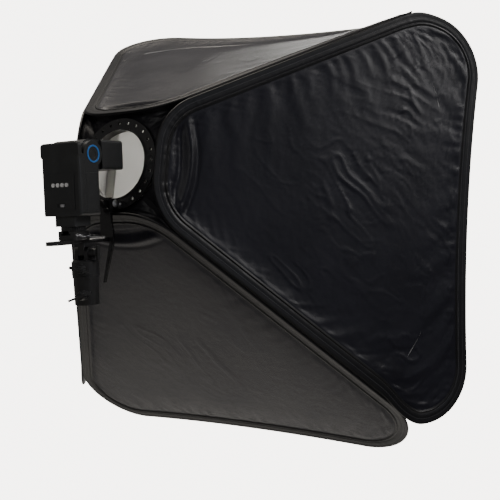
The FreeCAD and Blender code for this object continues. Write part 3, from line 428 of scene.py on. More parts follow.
HARD = {
    "black_paint": HardFinish("gloss black paint", (0.01, 0.01, 0.011), (0.016, 0.016, 0.017), 0.22,
                              Grain.PAINT, coat=0.6, edge=0.0006),
    "cast_black": HardFinish("black casting", (0.012, 0.012, 0.013), (0.022, 0.022, 0.024), 0.33,
                             Grain.CAST, coat=0.3, edge=0.0007),
    "zinc_steel": HardFinish("zinc plated steel", (0.5, 0.5, 0.52), (0.38, 0.38, 0.4), 0.3,
                             Grain.MACHINED, metallic=1.0, edge=0.0003),
    "polished_metal": HardFinish("polished metal", (0.82, 0.82, 0.83), (0.7, 0.7, 0.72), 0.13,
                                 Grain.MACHINED, metallic=1.0),
    "black_plastic": HardFinish("black moulding", (0.014, 0.014, 0.015), (0.024, 0.024, 0.025), 0.36,
                                Grain.MOULDED, edge=0.0007),
    "flash_plastic": HardFinish("satin flash moulding", (0.016, 0.017, 0.018), (0.024, 0.025, 0.026),
                                0.34, Grain.MOULDED, coat=0.15, edge=0.0012),
    "panel_plastic": HardFinish("control panel", (0.018, 0.019, 0.02), (0.024, 0.025, 0.026), 0.4,
                                Grain.MOULDED, edge=0.0003),
    "grey_plastic": HardFinish("grey moulding", (0.3, 0.3, 0.31), (0.36, 0.36, 0.37), 0.45),
    "button_plastic": HardFinish("pale button", (0.7, 0.7, 0.7), (0.6, 0.6, 0.6), 0.4),
    "blue_plastic": HardFinish("blue ring", (0.025, 0.15, 0.45), (0.04, 0.2, 0.52), 0.25,
                               Grain.SMOOTH, coat=0.4),
    "cell_sleeve": HardFinish("cell sleeve", (0.5, 0.33, 0.08), (0.4, 0.28, 0.08), 0.35, Grain.SMOOTH),
    "capacitor_can": HardFinish("capacitor sleeve", (0.04, 0.05, 0.09), (0.05, 0.06, 0.1), 0.35,
                                Grain.SMOOTH),
    "board_green": HardFinish("circuit board", (0.03, 0.16, 0.06), (0.04, 0.2, 0.08), 0.4),
    "clear_lens": HardFinish("clear lens", (0.95, 0.95, 0.94), (0.92, 0.92, 0.9), 0.12, Grain.SMOOTH,
                             clear=0.85),
    "reflector_bright": HardFinish("bright reflector", (0.9, 0.9, 0.91), (0.86, 0.86, 0.87), 0.12,
                                   Grain.MACHINED, metallic=1.0),
    "tube_glass": HardFinish("tube glass", (0.95, 0.95, 0.92), (0.93, 0.93, 0.9), 0.06, Grain.SMOOTH,
                             clear=0.9),
    "spring_steel": HardFinish("spring steel", (0.4, 0.41, 0.43), (0.3, 0.3, 0.32), 0.3,
                               Grain.MACHINED, metallic=1.0),
}


class Wardrobe:
    """Makes each finish once and gives it to the pieces that ask for it."""

    def __init__(self) -> None:
        """Start with nothing made."""
        self.made: dict[str, bpy.types.Material] = {}

    def dress(self, piece: bpy.types.Object, finish: ClothFinish | HardFinish) -> None:
        """Give a piece one finish in place of what it has.

        Args:
            piece: the piece.
            finish: the finish.
        """
        if finish.name not in self.made:
            self.made[finish.name] = finish.make()
        piece.data.materials.clear()
        piece.data.materials.append(self.made[finish.name])


WARDROBE = Wardrobe()


# ---------------------------------------------------------------------------------------------
# The pyramid that the cloth is cut for
# ---------------------------------------------------------------------------------------------
@dataclass(frozen=True)
class Pyramid:
    """Four flat panels round an axis that hangs below level; lengths in metres.

    Attributes:
        ring_centre: centre of the speed ring in the row frame.
        droop: angle of the axis below level.
        apex_back: from the ring plane back to the point where the panels would meet.
        flare: angle between the axis and a panel's middle line.
        start: slant distance from that point to the narrow edge.
        end: slant distance to the wide edge.
        corner: radius of a panel's corners.
        bow: how far the wide edge bows in.
        seam_end: slant distance at which the corner seams end.
        slip: how far the side panels' lobes slip down.
    """

    ring_centre: tuple[float, float, float] = (0.0, -0.0884, 0.220)
    droop: float = math.radians(12.3)
    apex_back: float = 0.125
    flare: float = math.radians(36.5)
    start: float = 0.140
    end: float = 0.767
    corner: float = 0.105
    bow: float = 0.012
    seam_end: float = 0.600
    slip: float = 0.016

    @property
    def half_angle(self) -> float:
        """Half a panel's angle in its own plane."""
        return math.atan(math.tan(self.flare) * math.cos(self.flare))

    def half_at(self, ahead: float) -> float:
        """Half the pyramid's width at a distance ahead of the ring plane."""
        return (self.apex_back + ahead) * math.tan(self.flare)

    def from_ring(self, points: np.ndarray) -> np.ndarray:
        """Turn points from the ring's frame, where -Y is the way the light goes, to the row frame."""
        x, y, z = np.moveaxis(points, -1, 0)
        cos, sin = math.cos(self.droop), math.sin(self.droop)
        turned = np.stack([x, y * cos - z * sin, y * sin + z * cos], axis=-1)
        return turned + np.array(self.ring_centre)

    def from_panel(self, s: np.ndarray, w: np.ndarray, out: np.ndarray, side: str) -> np.ndarray:
        """Set points of a panel's plane on one side of the pyramid.

        Args:
            s: slant distances.
            w: distances across.
            out: distances outwards from the panel's plane.
            side: name of the side.

        Returns:
            Points in the row frame.
        """
        s, w, out = self.hang(s, w, out, side)
        x = s * math.sin(self.flare) + out * math.cos(self.flare)
        y = self.apex_back - s * math.cos(self.flare) + out * math.sin(self.flare)
        turn = math.radians(SIDES[side])
        cos, sin = math.cos(turn), math.sin(turn)
        return self.from_ring(np.stack([x * cos - w * sin, y, -x * sin - w * cos], axis=-1))

    def hang(self, s: np.ndarray, w: np.ndarray, out: np.ndarray,
             side: str) -> tuple[np.ndarray, np.ndarray, np.ndarray]:
        """Let a panel hang: side panels' free lobes slip down, and the top panel's wide edge sags in.

        The lobes move in their plane past the seam's end. The sag grows as the square of the slant
        distance and is nil along the seams.

        Args:
            s: slant distances.
            w: distances across.
            out: distances outwards.
            side: name of the side.

        Returns:
            The three, moved.
        """
        lobe = smooth_step(s, self.seam_end - 0.02, self.seam_end + 0.075)
        if side in ("left", "right"):
            down = -1.0 if side == "right" else 1.0
            return s, w + down * lobe * (self.slip + 0.013 * down * w), out
        if side == "top":
            reach = np.abs(w) / (s * math.tan(self.half_angle))
            open_part = 1 - np.clip(reach, 0, 1) ** 3 * (1 - lobe)
            grown = np.clip((s - 0.28) / (self.end - 0.28), 0, 1) ** 2
            return s, w, out - self.top_sag(w) * grown * open_part
        return s, w, out

    def top_sag(self, w: np.ndarray) -> np.ndarray:
        """How far in the top panel's wide edge sags, as a square curve of the distance across."""
        return 0.040 - 0.083 * w - 0.13 * w * w


@dataclass(frozen=True)
class Outline:
    """Outline of one panel: two straight sides, four corner arcs, and a bowed wide edge."""

    pyramid: Pyramid = field(default_factory=Pyramid)

    def centres(self) -> tuple[np.ndarray, np.ndarray, np.ndarray, float]:
        """Centres of the narrow and wide corner arcs and of the bow, and the bow's radius."""
        p = self.pyramid
        sin, cos = math.sin(p.half_angle), math.cos(p.half_angle)
        near = np.array([p.start + p.corner, ((p.start + p.corner) * sin - p.corner) / cos])
        chord = p.end * math.tan(p.half_angle) * 0.6
        radius = (chord ** 2 + p.bow ** 2) / (2 * p.bow)
        bow = np.array([p.end - p.bow + radius, 0.0])
        low, high = p.end / 2, p.end
        for _ in range(60):
            x = (low + high) / 2
            y = (x * sin - p.corner) / cos
            far_enough = math.hypot(bow[0] - x, y) > radius + p.corner
            low, high = (x, high) if far_enough else (low, x)
        return near, np.array([x, y]), bow, radius

    def runs(self, inset: float, step: float) -> list[tuple[np.ndarray, np.ndarray]]:
        """The outline's eight runs in order, each as points and outward normals.

        Args:
            inset: distance inwards from the outline.
            step: rough spacing of the points.

        Returns:
            Narrow corner, side, wide corner, bow, wide corner, side, narrow corner, narrow edge.
        """
        p = self.pyramid
        near, far, bow, radius = self.centres()
        side = p.half_angle + math.pi / 2
        touch = math.atan2(-far[1], bow[0] - far[0])
        flip = np.array([1.0, -1.0])
        across = math.atan2(far[1], bow[0] - far[0])

        def arc(centre: np.ndarray, turns: tuple[float, float], r: float,
                sign: float = 1.0) -> tuple[np.ndarray, np.ndarray]:
            """Points on an arc, whose normals point away from its centre where sign is 1."""
            count = max(int(abs(turns[1] - turns[0]) * r / step), 6)
            a = np.linspace(*turns, count, endpoint=False)
            ray = np.stack([np.cos(a), np.sin(a)], axis=-1)
            return centre + ray * (r - sign * inset), ray * sign

        def line(a: np.ndarray, b: np.ndarray, normal: np.ndarray) -> tuple[np.ndarray, np.ndarray]:
            """Points on a straight run."""
            count = max(int(np.linalg.norm(b - a) / step), 4)
            t = np.linspace(0, 1, count, endpoint=False)[:, None]
            return a + (b - a) * t - normal * inset, np.repeat(normal[None], count, axis=0)

        ray = np.array([math.cos(side), math.sin(side)])
        return [arc(near, (math.pi, side), p.corner),
                line(near + ray * p.corner, far + ray * p.corner, ray),
                arc(far, (side, touch), p.corner),
                arc(bow, (math.pi - across, math.pi + across), radius, -1.0),
                arc(far * flip, (-touch, -side), p.corner),
                line((far + ray * p.corner) * flip, (near + ray * p.corner) * flip, ray * flip),
                arc(near * flip, (-side, -math.pi), p.corner),
                line((near + [-p.corner, 0]) * flip, near + [-p.corner, 0], np.array([-1.0, 0.0]))]

    def path(self, inset: float, step: float) -> tuple[np.ndarray, np.ndarray]:
        """Points along the closed outline and its outward normals, each n x 2."""
        runs = self.runs(inset, step)
        return np.concatenate([r[0] for r in runs]), np.concatenate([r[1] for r in runs])

    def grid(self, inset: float, rows: int, cols: int) -> tuple[np.ndarray, np.ndarray]:
        """Grid that fills the outline, by straight lines from the narrow end curve to the wide one.

        Args:
            inset: distance inwards from the outline.
            rows: rows from the narrow end to the wide one.
            cols: points along each row, evenly spaced along both end curves.

        Returns:
            Slant distances and distances across, rows x cols.
        """
        runs = [r[0] for r in self.runs(inset, 0.001)]
        wide = np.concatenate([runs[2], runs[3], runs[4], runs[5][:1]])[::-1]
        narrow = np.concatenate([runs[6], runs[7], runs[0], runs[1][:1]])
        ends = []
        for curve in (narrow, wide):
            run = np.concatenate([[0], np.cumsum(np.linalg.norm(np.diff(curve, axis=0), axis=1))])
            even = np.linspace(0, run[-1], cols)
            ends.append(np.stack([np.interp(even, run, curve[:, k]) for k in (0, 1)], axis=-1))
        t = np.linspace(0, 1, rows)
        t = (0.6 * t + 0.4 * (1 - np.cos(math.pi * t)) / 2)[:, None, None]
        points = ends[0][None] * (1 - t) + ends[1][None] * t
        return points[..., 0], points[..., 1]

    def depth(self, s: np.ndarray, w: np.ndarray) -> np.ndarray:
        """Distance inwards from the outline."""
        p = self.pyramid
        near, far, bow, radius = self.centres()
        side = p.half_angle + math.pi / 2
        w = np.abs(w)
        d = np.minimum(s * math.sin(p.half_angle) - w * math.cos(p.half_angle), s - p.start)
        d = np.minimum(d, np.hypot(bow[0] - s, w) - radius)
        for centre, low, high in ((near, side, math.pi), (far, 0.0, side)):
            v, u = w - centre[1], s - centre[0]
            turn = np.arctan2(v, u)
            d = np.where((turn > low) & (turn < high), p.corner - np.hypot(u, v), d)
        return d


# ---------------------------------------------------------------------------------------------
# Panels, linings and their edge tape
# ---------------------------------------------------------------------------------------------
@dataclass(frozen=True)
class CreaseField:
    """A patch of creases that run the same way: ridges where a stretched noise passes through nil.

    Attributes:
        lean: their direction, in degrees from the slant direction.
        cell: spacing across them, in metres.
        height: height of the ridges, in metres.
        middle: slant distance and distance across of the patch's middle.
        spread: its reach both ways.
        seed: seed of its noise.
        stretch: how much longer than wide they are.
    """

    lean: float
    cell: float
    height: float
    middle: tuple[float, float]
    spread: tuple[float, float]
    seed: int
    stretch: float = 5.0

    def mirrored(self) -> "CreaseField":
        """The same patch on a panel seen from the other side, with its own noise."""
        return CreaseField(-self.lean, self.cell, self.height, (self.middle[0], -self.middle[1]),
                           self.spread, self.seed + 100, self.stretch)

    def relief(self, s: np.ndarray, w: np.ndarray) -> np.ndarray:
        """Height over a grid: exp(-(n / 0.1)^2) of the noise n, faded as a Gaussian from the middle.

        Args:
            s: slant distances.
            w: distances across.

        Returns:
            Heights, the same shape.
        """
        lean = math.radians(self.lean)
        wander = self.cell * 1.1
        a = s + wander * value_noise(s, w, self.cell * 3.5, self.seed + 1)
        b = w + wander * value_noise(s, w, self.cell * 3.5, self.seed + 2)
        along = (a * math.cos(lean) + b * math.sin(lean)) / self.stretch
        across = -a * math.sin(lean) + b * math.cos(lean)
        n = value_noise(along, across, self.cell, self.seed)
        strength = 0.5 + 0.5 * value_noise(s, w, self.cell * 5, self.seed + 3)
        fade = np.exp(-((s - self.middle[0]) / self.spread[0]) ** 2
                      - ((w - self.middle[1]) / self.spread[1]) ** 2)
        ridge = np.exp(-(n / 0.1) ** 2) + 0.35 * n
        return self.height * fade * strength * ridge


CENTRE_CREASES = (
    CreaseField(-42, 0.018, 0.0032, (0.50, 0.02), (0.13, 0.11), 21),
    CreaseField(-33, 0.014, 0.0022, (0.60, -0.06), (0.10, 0.12), 22),
    CreaseField(-8, 0.016, 0.0024, (0.60, 0.19), (0.12, 0.09), 23),
    CreaseField(-22, 0.012, 0.0016, (0.71, 0.0), (0.045, 0.22), 24, 3.0),
    CreaseField(35, 0.014, 0.0026, (0.65, -0.27), (0.06, 0.08), 25, 3.5),
    CreaseField(-32, 0.015, 0.0022, (0.43, -0.165), (0.12, 0.04), 26, 6.0),
    CreaseField(-40, 0.009, 0.0013, (0.55, -0.02), (0.14, 0.12), 28, 7.0),
    CreaseField(-12, 0.009, 0.0011, (0.62, 0.16), (0.12, 0.12), 29, 7.0),
    CreaseField(60, 0.013, 0.0012, (0.62, 0.27), (0.07, 0.07), 27, 3.0))
QUIET_CREASES = (
    CreaseField(6, 0.022, 0.0010, (0.50, 0.0), (0.20, 0.25), 31, 6.0),
    CreaseField(-14, 0.015, 0.0006, (0.70, 0.0), (0.06, 0.25), 32, 3.0))


@dataclass
class PanelCloth:
    """One panel: outer nylon, silver lining, and the sewn tape that holds its hoop.

    Attributes:
        side: which side of the pyramid.
        creases: its patches of storage creases.
        seed: seed of its loose start and gathers.
        slack: how much longer the cloth is than the flat panel.
        body: frame body that it rides on.
    """

    side: str
    creases: tuple[CreaseField, ...]
    seed: int
    slack: float = 0.004
    body: str = "softbox"
    outline: Outline = field(default_factory=Outline)
    edge: float = 0.0065
    tape_width: float = 0.026
    hoop_in: float = 0.0041
    middle_layer: float = -0.0007
    rows: int = 66
    cols: int = 72
    factor: int = 3
    limit: float = 0.006
    air: float = 0.0012

    def lay(self) -> bpy.types.Object:
        """Lay the flat cloth in its place, ready to settle.

        Returns:
            The coarse cloth.
        """
        self.s, self.w = self.outline.grid(self.edge, self.rows, self.cols)
        held = self.outline.depth(self.s, self.w) < self.tape_width
        start = 0.0008 * value_noise(self.s + 0.8 * self.w, 0.35 * self.w, 0.02, self.seed)
        self.start = np.where(held, 0.0, start)
        points = self.outline.pyramid.from_panel(self.s, self.w, self.start, self.side)
        cloth = grid_mesh("settling_" + self.side, points)
        group = cloth.vertex_groups.new(name="held")
        group.add(np.flatnonzero(held.ravel()).tolist(), 1.0, "REPLACE")
        loose = cloth.vertex_groups.new(name="loose")
        amount = smooth_step(self.s, 0.25, 0.6).ravel()
        for level in range(1, 6):
            chosen = np.flatnonzero(np.round(amount * 5) == level)
            if len(chosen):
                loose.add(chosen.tolist(), level / 5, "REPLACE")
        return cloth

    def start_cloth(self, cloth: bpy.types.Object) -> None:
        """Add the cloth modifier: held at its tape, a little too large elsewhere."""
        modifier = cloth.modifiers.new("settle", "CLOTH")
        rules = modifier.settings
        rules.quality = 5
        rules.mass = 0.12
        rules.tension_stiffness = rules.compression_stiffness = 18
        rules.shear_stiffness = 6
        rules.bending_stiffness = 0.04
        rules.air_damping = 2.0
        rules.vertex_group_mass = "held"
        rules.vertex_group_shrink = "loose"
        rules.shrink_min = -self.slack * 0.3
        rules.shrink_max = -self.slack
        rules.effector_weights.gravity = 0.25

    def read_settled(self, cloth: bpy.types.Object) -> np.ndarray:
        """Offsets outwards of the settled cloth, soft-limited, then the coarse cloth is removed.

        Args:
            cloth: the coarse cloth.

        Returns:
            Offsets, rows x cols.
        """
        graph = bpy.context.evaluated_depsgraph_get()
        shaped = cloth.evaluated_get(graph).to_mesh()
        co = np.empty(len(shaped.vertices) * 3, dtype=np.float32)
        shaped.vertices.foreach_get("co", co)
        flat = self.outline.pyramid.from_panel(self.s, self.w, np.zeros_like(self.s), self.side)
        out = self.outline.pyramid.from_panel(self.s, self.w, np.ones_like(self.s), self.side) - flat
        offset = ((co.reshape(flat.shape) - flat) * out).sum(axis=-1)
        bpy.data.objects.remove(cloth)
        return self.limit * np.tanh(offset / self.limit)

    def finish(self, offset: np.ndarray) -> None:
        """Build the fine outer cloth and lining from the settled offsets, and the tape round them.

        Args:
            offset: offsets outwards on the coarse grid.
        """
        s, w = refine(self.s, self.factor), refine(self.w, self.factor)
        depth = self.outline.depth(s, w)
        free = smooth_step(depth, self.tape_width - 0.002, self.tape_width + 0.010)
        relief = refine(offset, self.factor) + sum(field.relief(s, w) for field in self.creases)
        out = (relief + self.tucks(s, w, depth) + self.narrow_fold(s, w)) * free
        self.sheet("panel_" + self.side, s, w, out, BLACK_NYLON, "black_nylon", 0.0004)
        around = np.lib.stride_tricks.sliding_window_view(np.pad(out, 3, mode="edge"), (7, 7))
        under = around.min(axis=(2, 3)) - self.air
        self.sheet("lining_" + self.side, s[::2, ::2], w[::2, ::2], under[::2, ::2], SILVER_CLOTH,
                   "silver_lining", 0.0003)
        self.tape()
        self.hoop()

    def tucks(self, s: np.ndarray, w: np.ndarray, depth: np.ndarray) -> np.ndarray:
        """Small gathers that run in from the tape: noise stretched at right angles to the wide edge."""
        near_tape = np.exp(-((depth - self.tape_width) / 0.022) ** 2)
        at_end = smooth_step(s, 0.5, 0.68)
        gathers = value_noise(s, w, 1.0, 5) + value_noise(0.22 * s, w, 0.006, self.seed + 7)
        return 0.0011 * near_tape * gathers * (0.3 + 0.7 * at_end)

    def narrow_fold(self, s: np.ndarray, w: np.ndarray) -> np.ndarray:
        """Slack near the narrow end: a valley, then a rounded ridge, then a thin crease, all bowed."""
        line = 0.216 - 2.4 * w * w
        window = np.sqrt(np.clip(1 - (w / 0.092) ** 2, 0, 1))
        u = s - line
        ridge = 0.0042 * np.exp(-((u + 0.013) / 0.0065) ** 2)
        valley = 0.0050 * np.exp(-((u + 0.029) / 0.0075) ** 2)
        crease = 0.0016 * np.exp(-(u / 0.0028) ** 2)
        return window * (ridge - valley - crease)

    def sheet(self, name: str, s: np.ndarray, w: np.ndarray, out: np.ndarray, finish: ClothFinish,
              slot: str, thick: float) -> None:
        """Make one closed sheet of cloth from its offsets.

        Args:
            name: name of the frame node that it stands for.
            s: slant distances.
            w: distances across.
            out: offsets outwards.
            finish: its finish.
            slot: its material slot.
            thick: its thickness in metres.
        """
        points = self.outline.pyramid.from_panel(s, w, out, self.side)
        piece = grid_mesh("cloth_" + name, points, uv=np.stack([w, s], axis=-1))
        solid = piece.modifiers.new("thickness", "SOLIDIFY")
        solid.thickness = thick
        WARDROBE.dress(piece, finish)
        register(piece, self.body, slot, name)

    def sweep(self, name: str, inset: np.ndarray, out: np.ndarray, puckers: np.ndarray) -> bpy.types.Object:
        """Carry a closed section round the outline.

        Args:
            name: name of the piece.
            inset: the section's distances inwards from the outline.
            out: its distances outwards from the panel's plane.
            puckers: how far each of its points follows the sewing's puckers.

        Returns:
            The piece, with its length and width as its cloth map.
        """
        path, normal = self.outline.path(0.0, 0.003)
        run = np.concatenate([[0], np.cumsum(np.linalg.norm(np.diff(path, axis=0), axis=1))])
        wave = np.abs(value_noise(run, np.zeros_like(run), 0.007, self.seed + 31))
        ends = 1 + 2.2 * (1 - smooth_step(path[:, 0], 0.16, 0.25))
        rise = out[None] + (wave * ends)[:, None] * puckers[None]
        flat = path[:, None] - normal[:, None] * inset[None, :, None]
        points = self.outline.pyramid.from_panel(flat[..., 0], flat[..., 1], rise, self.side)
        uv = np.stack(np.broadcast_arrays(run[:, None], inset[None]), axis=-1)
        piece = grid_mesh(name, points, close_rows=True, close_cols=True, uv=uv)
        face_outwards(piece)
        return piece

    def tape(self) -> None:
        """Tape over the hoop and in along both faces, with a groove and a sewn ridge on its inner edge."""
        roll = 0.0027
        a = np.linspace(-math.pi / 2, -3 * math.pi / 2, 13)
        inset = np.concatenate([[self.tape_width, 0.0150, 0.0080], self.hoop_in + roll * np.cos(a),
                                [0.0080, 0.0140, 0.0194, 0.0201, 0.0208, 0.0217, 0.0227, 0.0237, 0.0245,
                                 0.0252, self.tape_width]])
        out = np.concatenate([[-0.0022, -0.0024, -0.0026], self.middle_layer + roll * np.sin(a),
                              [0.0010, 0.0006, 0.0006, 0.0001, 0.0006, 0.0013, 0.0017, 0.0013, 0.0004,
                               0.0004, 0.0002]])
        puckers = np.where((inset > 0.012) & (out > 0.0002), 0.0003, 0.0)
        piece = self.sweep("tape_" + self.side, inset, out, puckers)
        WARDROBE.dress(piece, BLACK_TAPE)
        register(piece, self.body, "black_tape", "sleeve_" + self.side)

    def hoop(self) -> None:
        """Spring wire inside the tape."""
        radius = 0.0013
        a = np.linspace(0, -2 * math.pi, 10, endpoint=False)
        piece = self.sweep("wire_" + self.side, self.hoop_in + radius * np.cos(a),
                           self.middle_layer + radius * np.sin(a), np.zeros_like(a))
        WARDROBE.dress(piece, HARD["spring_steel"])
        register(piece, self.body, "spring_steel", "hoop_" + self.side)


def register(piece: bpy.types.Object, body: str, slot: str, *nodes: str) -> None:
    """Ride a piece on its body, and hide the frame nodes that it stands for.

    Args:
        piece: the finished piece.
        body: the frame body.
        slot: the material slot; not used.
        nodes: frame nodes that it replaces.
    """
    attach(piece, body)
    if nodes:
        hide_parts(*nodes)
    LOG.info("%s on %s: %d vertices", piece.name, body, len(piece.data.vertices))


@dataclass
class SoftboxCloth:
    """All the cloth between the ring and the front edge."""

    frames: int = 26
    pyramid: Pyramid = field(default_factory=Pyramid)

    def panels(self) -> None:
        """Settle the four panels together, then build them."""
        mirrored = tuple(field.mirrored() for field in CENTRE_CREASES)
        panels = [PanelCloth("right", CENTRE_CREASES, 11, 0.006), PanelCloth("left", mirrored, 12, 0.006),
                  PanelCloth("top", QUIET_CREASES, 13, 0.004), PanelCloth("bottom", QUIET_CREASES, 14, 0.003)]
        cloths = [panel.lay() for panel in panels]
        for panel, cloth in zip(panels, cloths):
            panel.start_cloth(cloth)
        scene = bpy.context.scene
        for step in range(1, self.frames + 1):
            scene.frame_set(step)
        settled = [panel.read_settled(cloth) for panel, cloth in zip(panels, cloths)]
        scene.frame_set(1)
        for panel, offset in zip(panels, settled):
            panel.finish(offset)

    def sheet_across(self, name: str, ahead: float, half: float, corner: float, pull: float,
                     billow: float, cells: int, sag: float) -> tuple[bpy.types.Object, np.ndarray]:
        """Rounded square sheet across the pyramid, with corners drawn back and a slight billow.

        Args:
            name: name of the piece.
            ahead: distance ahead of the ring plane.
            half: half its side.
            corner: corner radius.
            pull: how far each corner is drawn back towards the ring.
            billow: how far its middle stands ahead.
            cells: cells along a side.
            sag: share of the top panel's sag that its top edge follows.

        Returns:
            The sheet, and its grid in the row frame.
        """
        a = np.linspace(-1, 1, cells)
        u, v = np.meshgrid(a, a, indexing="ij")
        r = corner / half
        # squeeze the square's corners onto arcs: the overshoot past the arc's centre is limited to r
        cu, cv = np.clip(np.abs(u) - (1 - r), 0, None), np.clip(np.abs(v) - (1 - r), 0, None)
        over = np.hypot(cu, cv)
        largest = np.maximum(cu, cv)
        scale = np.where(over > 1e-9, largest / np.maximum(over, 1e-9), 1.0)
        x = half * np.sign(u) * (np.minimum(np.abs(u), 1 - r) + cu * scale)
        z = half * np.sign(v) * (np.minimum(np.abs(v), 1 - r) + cv * scale)
        z = z - sag * self.pyramid.top_sag(x) * smooth_step(z, 0, half)
        diagonal = smooth_step(np.hypot(x, z), half * 1.02, half * 1.36)
        wave = 0.0012 * value_noise(x + z, x - z, 0.05, 41)
        back = pull * diagonal
        apex = self.pyramid.apex_back + ahead
        narrower = (apex - back) / apex
        x, z = x * narrower, z * narrower
        y = -ahead + back - billow * (1 - u ** 2) * (1 - v ** 2) + wave * (1 - u ** 2) * (1 - v ** 2)
        points = self.pyramid.from_ring(np.stack([x, y, z], axis=-1))
        piece = grid_mesh(name, points, uv=np.stack([x, z], axis=-1))
        return piece, points

    def front(self) -> None:
        """Front diffuser with its hook-and-loop band."""
        ahead, inset = 0.4355, 0.006
        half = self.pyramid.half_at(ahead) - inset
        piece, points = self.sheet_across("cloth_front_diffuser", ahead, half, 0.115, 0.062, 0.004, 121, 0.85)
        thickness(piece, 0.0004)
        WARDROBE.dress(piece, WHITE_CLOTH)
        register(piece, "softbox", "white_diffusion", "front_diffuser")
        self.border("band_front", points, 4, 0.0012, -0.0008, WHITE_CLOTH, "white_diffusion", "diffuser_band")

    def baffle(self) -> None:
        """Inner baffle with its binding; its straps keep their frame shape."""
        ahead, half = 0.2495, 0.148
        piece, points = self.sheet_across("cloth_inner_baffle", ahead, half, 0.04, 0.0, 0.002, 81, 0.0)
        thickness(piece, 0.0004)
        WARDROBE.dress(piece, WHITE_CLOTH)
        register(piece, "softbox", "white_diffusion", "inner_baffle")
        self.border("binding_baffle", points, 3, 0.0016, 0.0, PLAIN_TAPE, "black_tape", "baffle_binding")

    def border(self, name: str, points: np.ndarray, width: int, thick: float, lift: float,
               finish: ClothFinish, slot: str, node: str) -> None:
        """Tape round a sheet's edge, made from the sheet's outer cells.

        Args:
            name: name of the piece.
            points: the sheet's grid.
            width: cells that the tape covers.
            thick: tape thickness.
            lift: how far it stands ahead of the sheet.
            finish: its finish.
            slot: its material slot.
            node: the frame node it stands for.
        """
        n = len(points)
        loops = []
        for k in range(width + 1):
            a, b = k, n - 1 - k
            loop = np.concatenate([points[a:b, a], points[b, a:b], points[a + 1:b + 1, b][::-1],
                                   points[a, a + 1:b + 1][::-1]])
            # each inner loop is resampled to the outer loop's count
            t = np.linspace(0, len(loop), 4 * (n - 1), endpoint=False)
            low = np.floor(t).astype(int)
            part = (t - low)[:, None]
            loops.append(loop[low % len(loop)] * (1 - part) + loop[(low + 1) % len(loop)] * part)
        strip = np.stack(loops, axis=1)
        ahead = self.pyramid.from_ring(np.array([0.0, -1.0, 0.0])) - np.array(self.pyramid.ring_centre)
        top = strip + ahead * (lift + thick / 2)
        under = (strip - ahead * thick / 2)[:, ::-1]
        closed = np.concatenate([top, under], axis=1)
        cell = 0.006
        run = np.arange(len(closed)) * cell
        across = np.concatenate([np.arange(width + 1), np.arange(width + 1)[::-1]]) * cell
        uv = np.stack(np.broadcast_arrays(run[:, None], across[None]), axis=-1)
        piece = grid_mesh(name, closed, close_rows=True, close_cols=True, uv=uv)
        face_outwards(piece)
        WARDROBE.dress(piece, finish)
        register(piece, "softbox", slot, node)

    def collar(self) -> None:
        """Cloth from the ring's lip out to the panels' narrow ends and down into the corners."""
        outline = Outline(self.pyramid)
        near = outline.centres()[0]
        tuck = 0.011
        path = outline.path(tuck, 0.002)[0]
        side_turn = self.pyramid.half_angle + math.pi / 2
        last = near[0] + (self.pyramid.corner - tuck) * math.cos(side_turn)
        end = path[(path[:, 0] <= last + 1e-6)]
        end = end[np.argsort(end[:, 1])]
        loops = [self.pyramid_local(end, name) for name in ("left", "top", "right", "bottom")]
        outer = np.concatenate(loops)
        turn = np.arctan2(outer[:, 2], outer[:, 0])
        outer = outer[np.argsort(turn)]
        turn = np.sort(turn)
        even = np.linspace(-math.pi, math.pi, 360, endpoint=False)
        rim = np.stack([np.interp(even, turn, outer[:, k], period=2 * math.pi) for k in range(3)], axis=-1)
        rings = []
        lip, lip_y, rows, droop, ripple_height = 0.0772, -0.0052, 22, -0.006, 0.0016
        for t in np.linspace(0, 1, rows):
            start = np.stack([lip * np.cos(even), np.full_like(even, lip_y), lip * np.sin(even)], axis=-1)
            sag = droop * math.sin(math.pi * t)
            ripple = value_noise(even * 0.9, even * 0 + t, 0.13, 51)
            wave = ripple_height * math.sin(math.pi * min(t * 1.2, 1.0)) * ripple
            ring = start * (1 - t) + rim * t
            ring[:, 1] += sag * t + wave
            rings.append(ring)
        grid = np.stack(rings, axis=0)
        points = self.pyramid.from_ring(grid)
        uv = np.stack(np.broadcast_arrays(even[None] * 0.09, np.linspace(0, 0.05, rows)[:, None]), axis=-1)
        piece = grid_mesh("cloth_back_collar", points, close_cols=True, uv=uv)
        thickness(piece, 0.0006)
        WARDROBE.dress(piece, COLLAR_CLOTH)
        register(piece, "softbox", "black_tape", "back_collar")

    def pyramid_local(self, path: np.ndarray, side: str) -> np.ndarray:
        """Points of a panel's plane in the ring's frame."""
        s, w = path[:, 0], path[:, 1]
        x = s * math.sin(self.pyramid.flare)
        y = self.pyramid.apex_back - s * math.cos(self.pyramid.flare)
        turn = math.radians(SIDES[side])
        return np.stack([x * math.cos(turn) - w * math.sin(turn), y - 0.002,
                         -x * math.sin(turn) - w * math.cos(turn)], axis=-1)

    def build(self) -> None:
        """Build every piece of cloth."""
        self.panels()
        self.front()
        self.baffle()
        self.collar()
        for name, finish in (("corner_seams", PLAIN_TAPE), ("baffle_straps", ELASTIC)):
            WARDROBE.dress(frame["nodes"][name], finish)


def thickness(piece: bpy.types.Object, thick: float) -> None:
    """Give a sheet its thickness."""
    solid = piece.modifiers.new("thickness", "SOLIDIFY")
    solid.thickness = thick


# ---------------------------------------------------------------------------------------------
# Hard pieces
# ---------------------------------------------------------------------------------------------
@dataclass
class Hardware:
    """Every frame node that keeps its own shape, with the finish of its material slot."""

    soft: tuple[str, ...] = ("corner_seams", "baffle_straps", "hoop_left", "hoop_top", "hoop_right",
                             "hoop_bottom")

    def build(self) -> None:
        """Dress the nodes."""
        for entry in frame["record"]["subparts"]:
            finish = HARD.get(entry["material_slot"])
            node = frame["nodes"][entry["node"]]
            if finish is not None and entry["node"] not in self.soft:
                WARDROBE.dress(node, finish)
                LOG.info("%s: %s", entry["node"], finish.name)


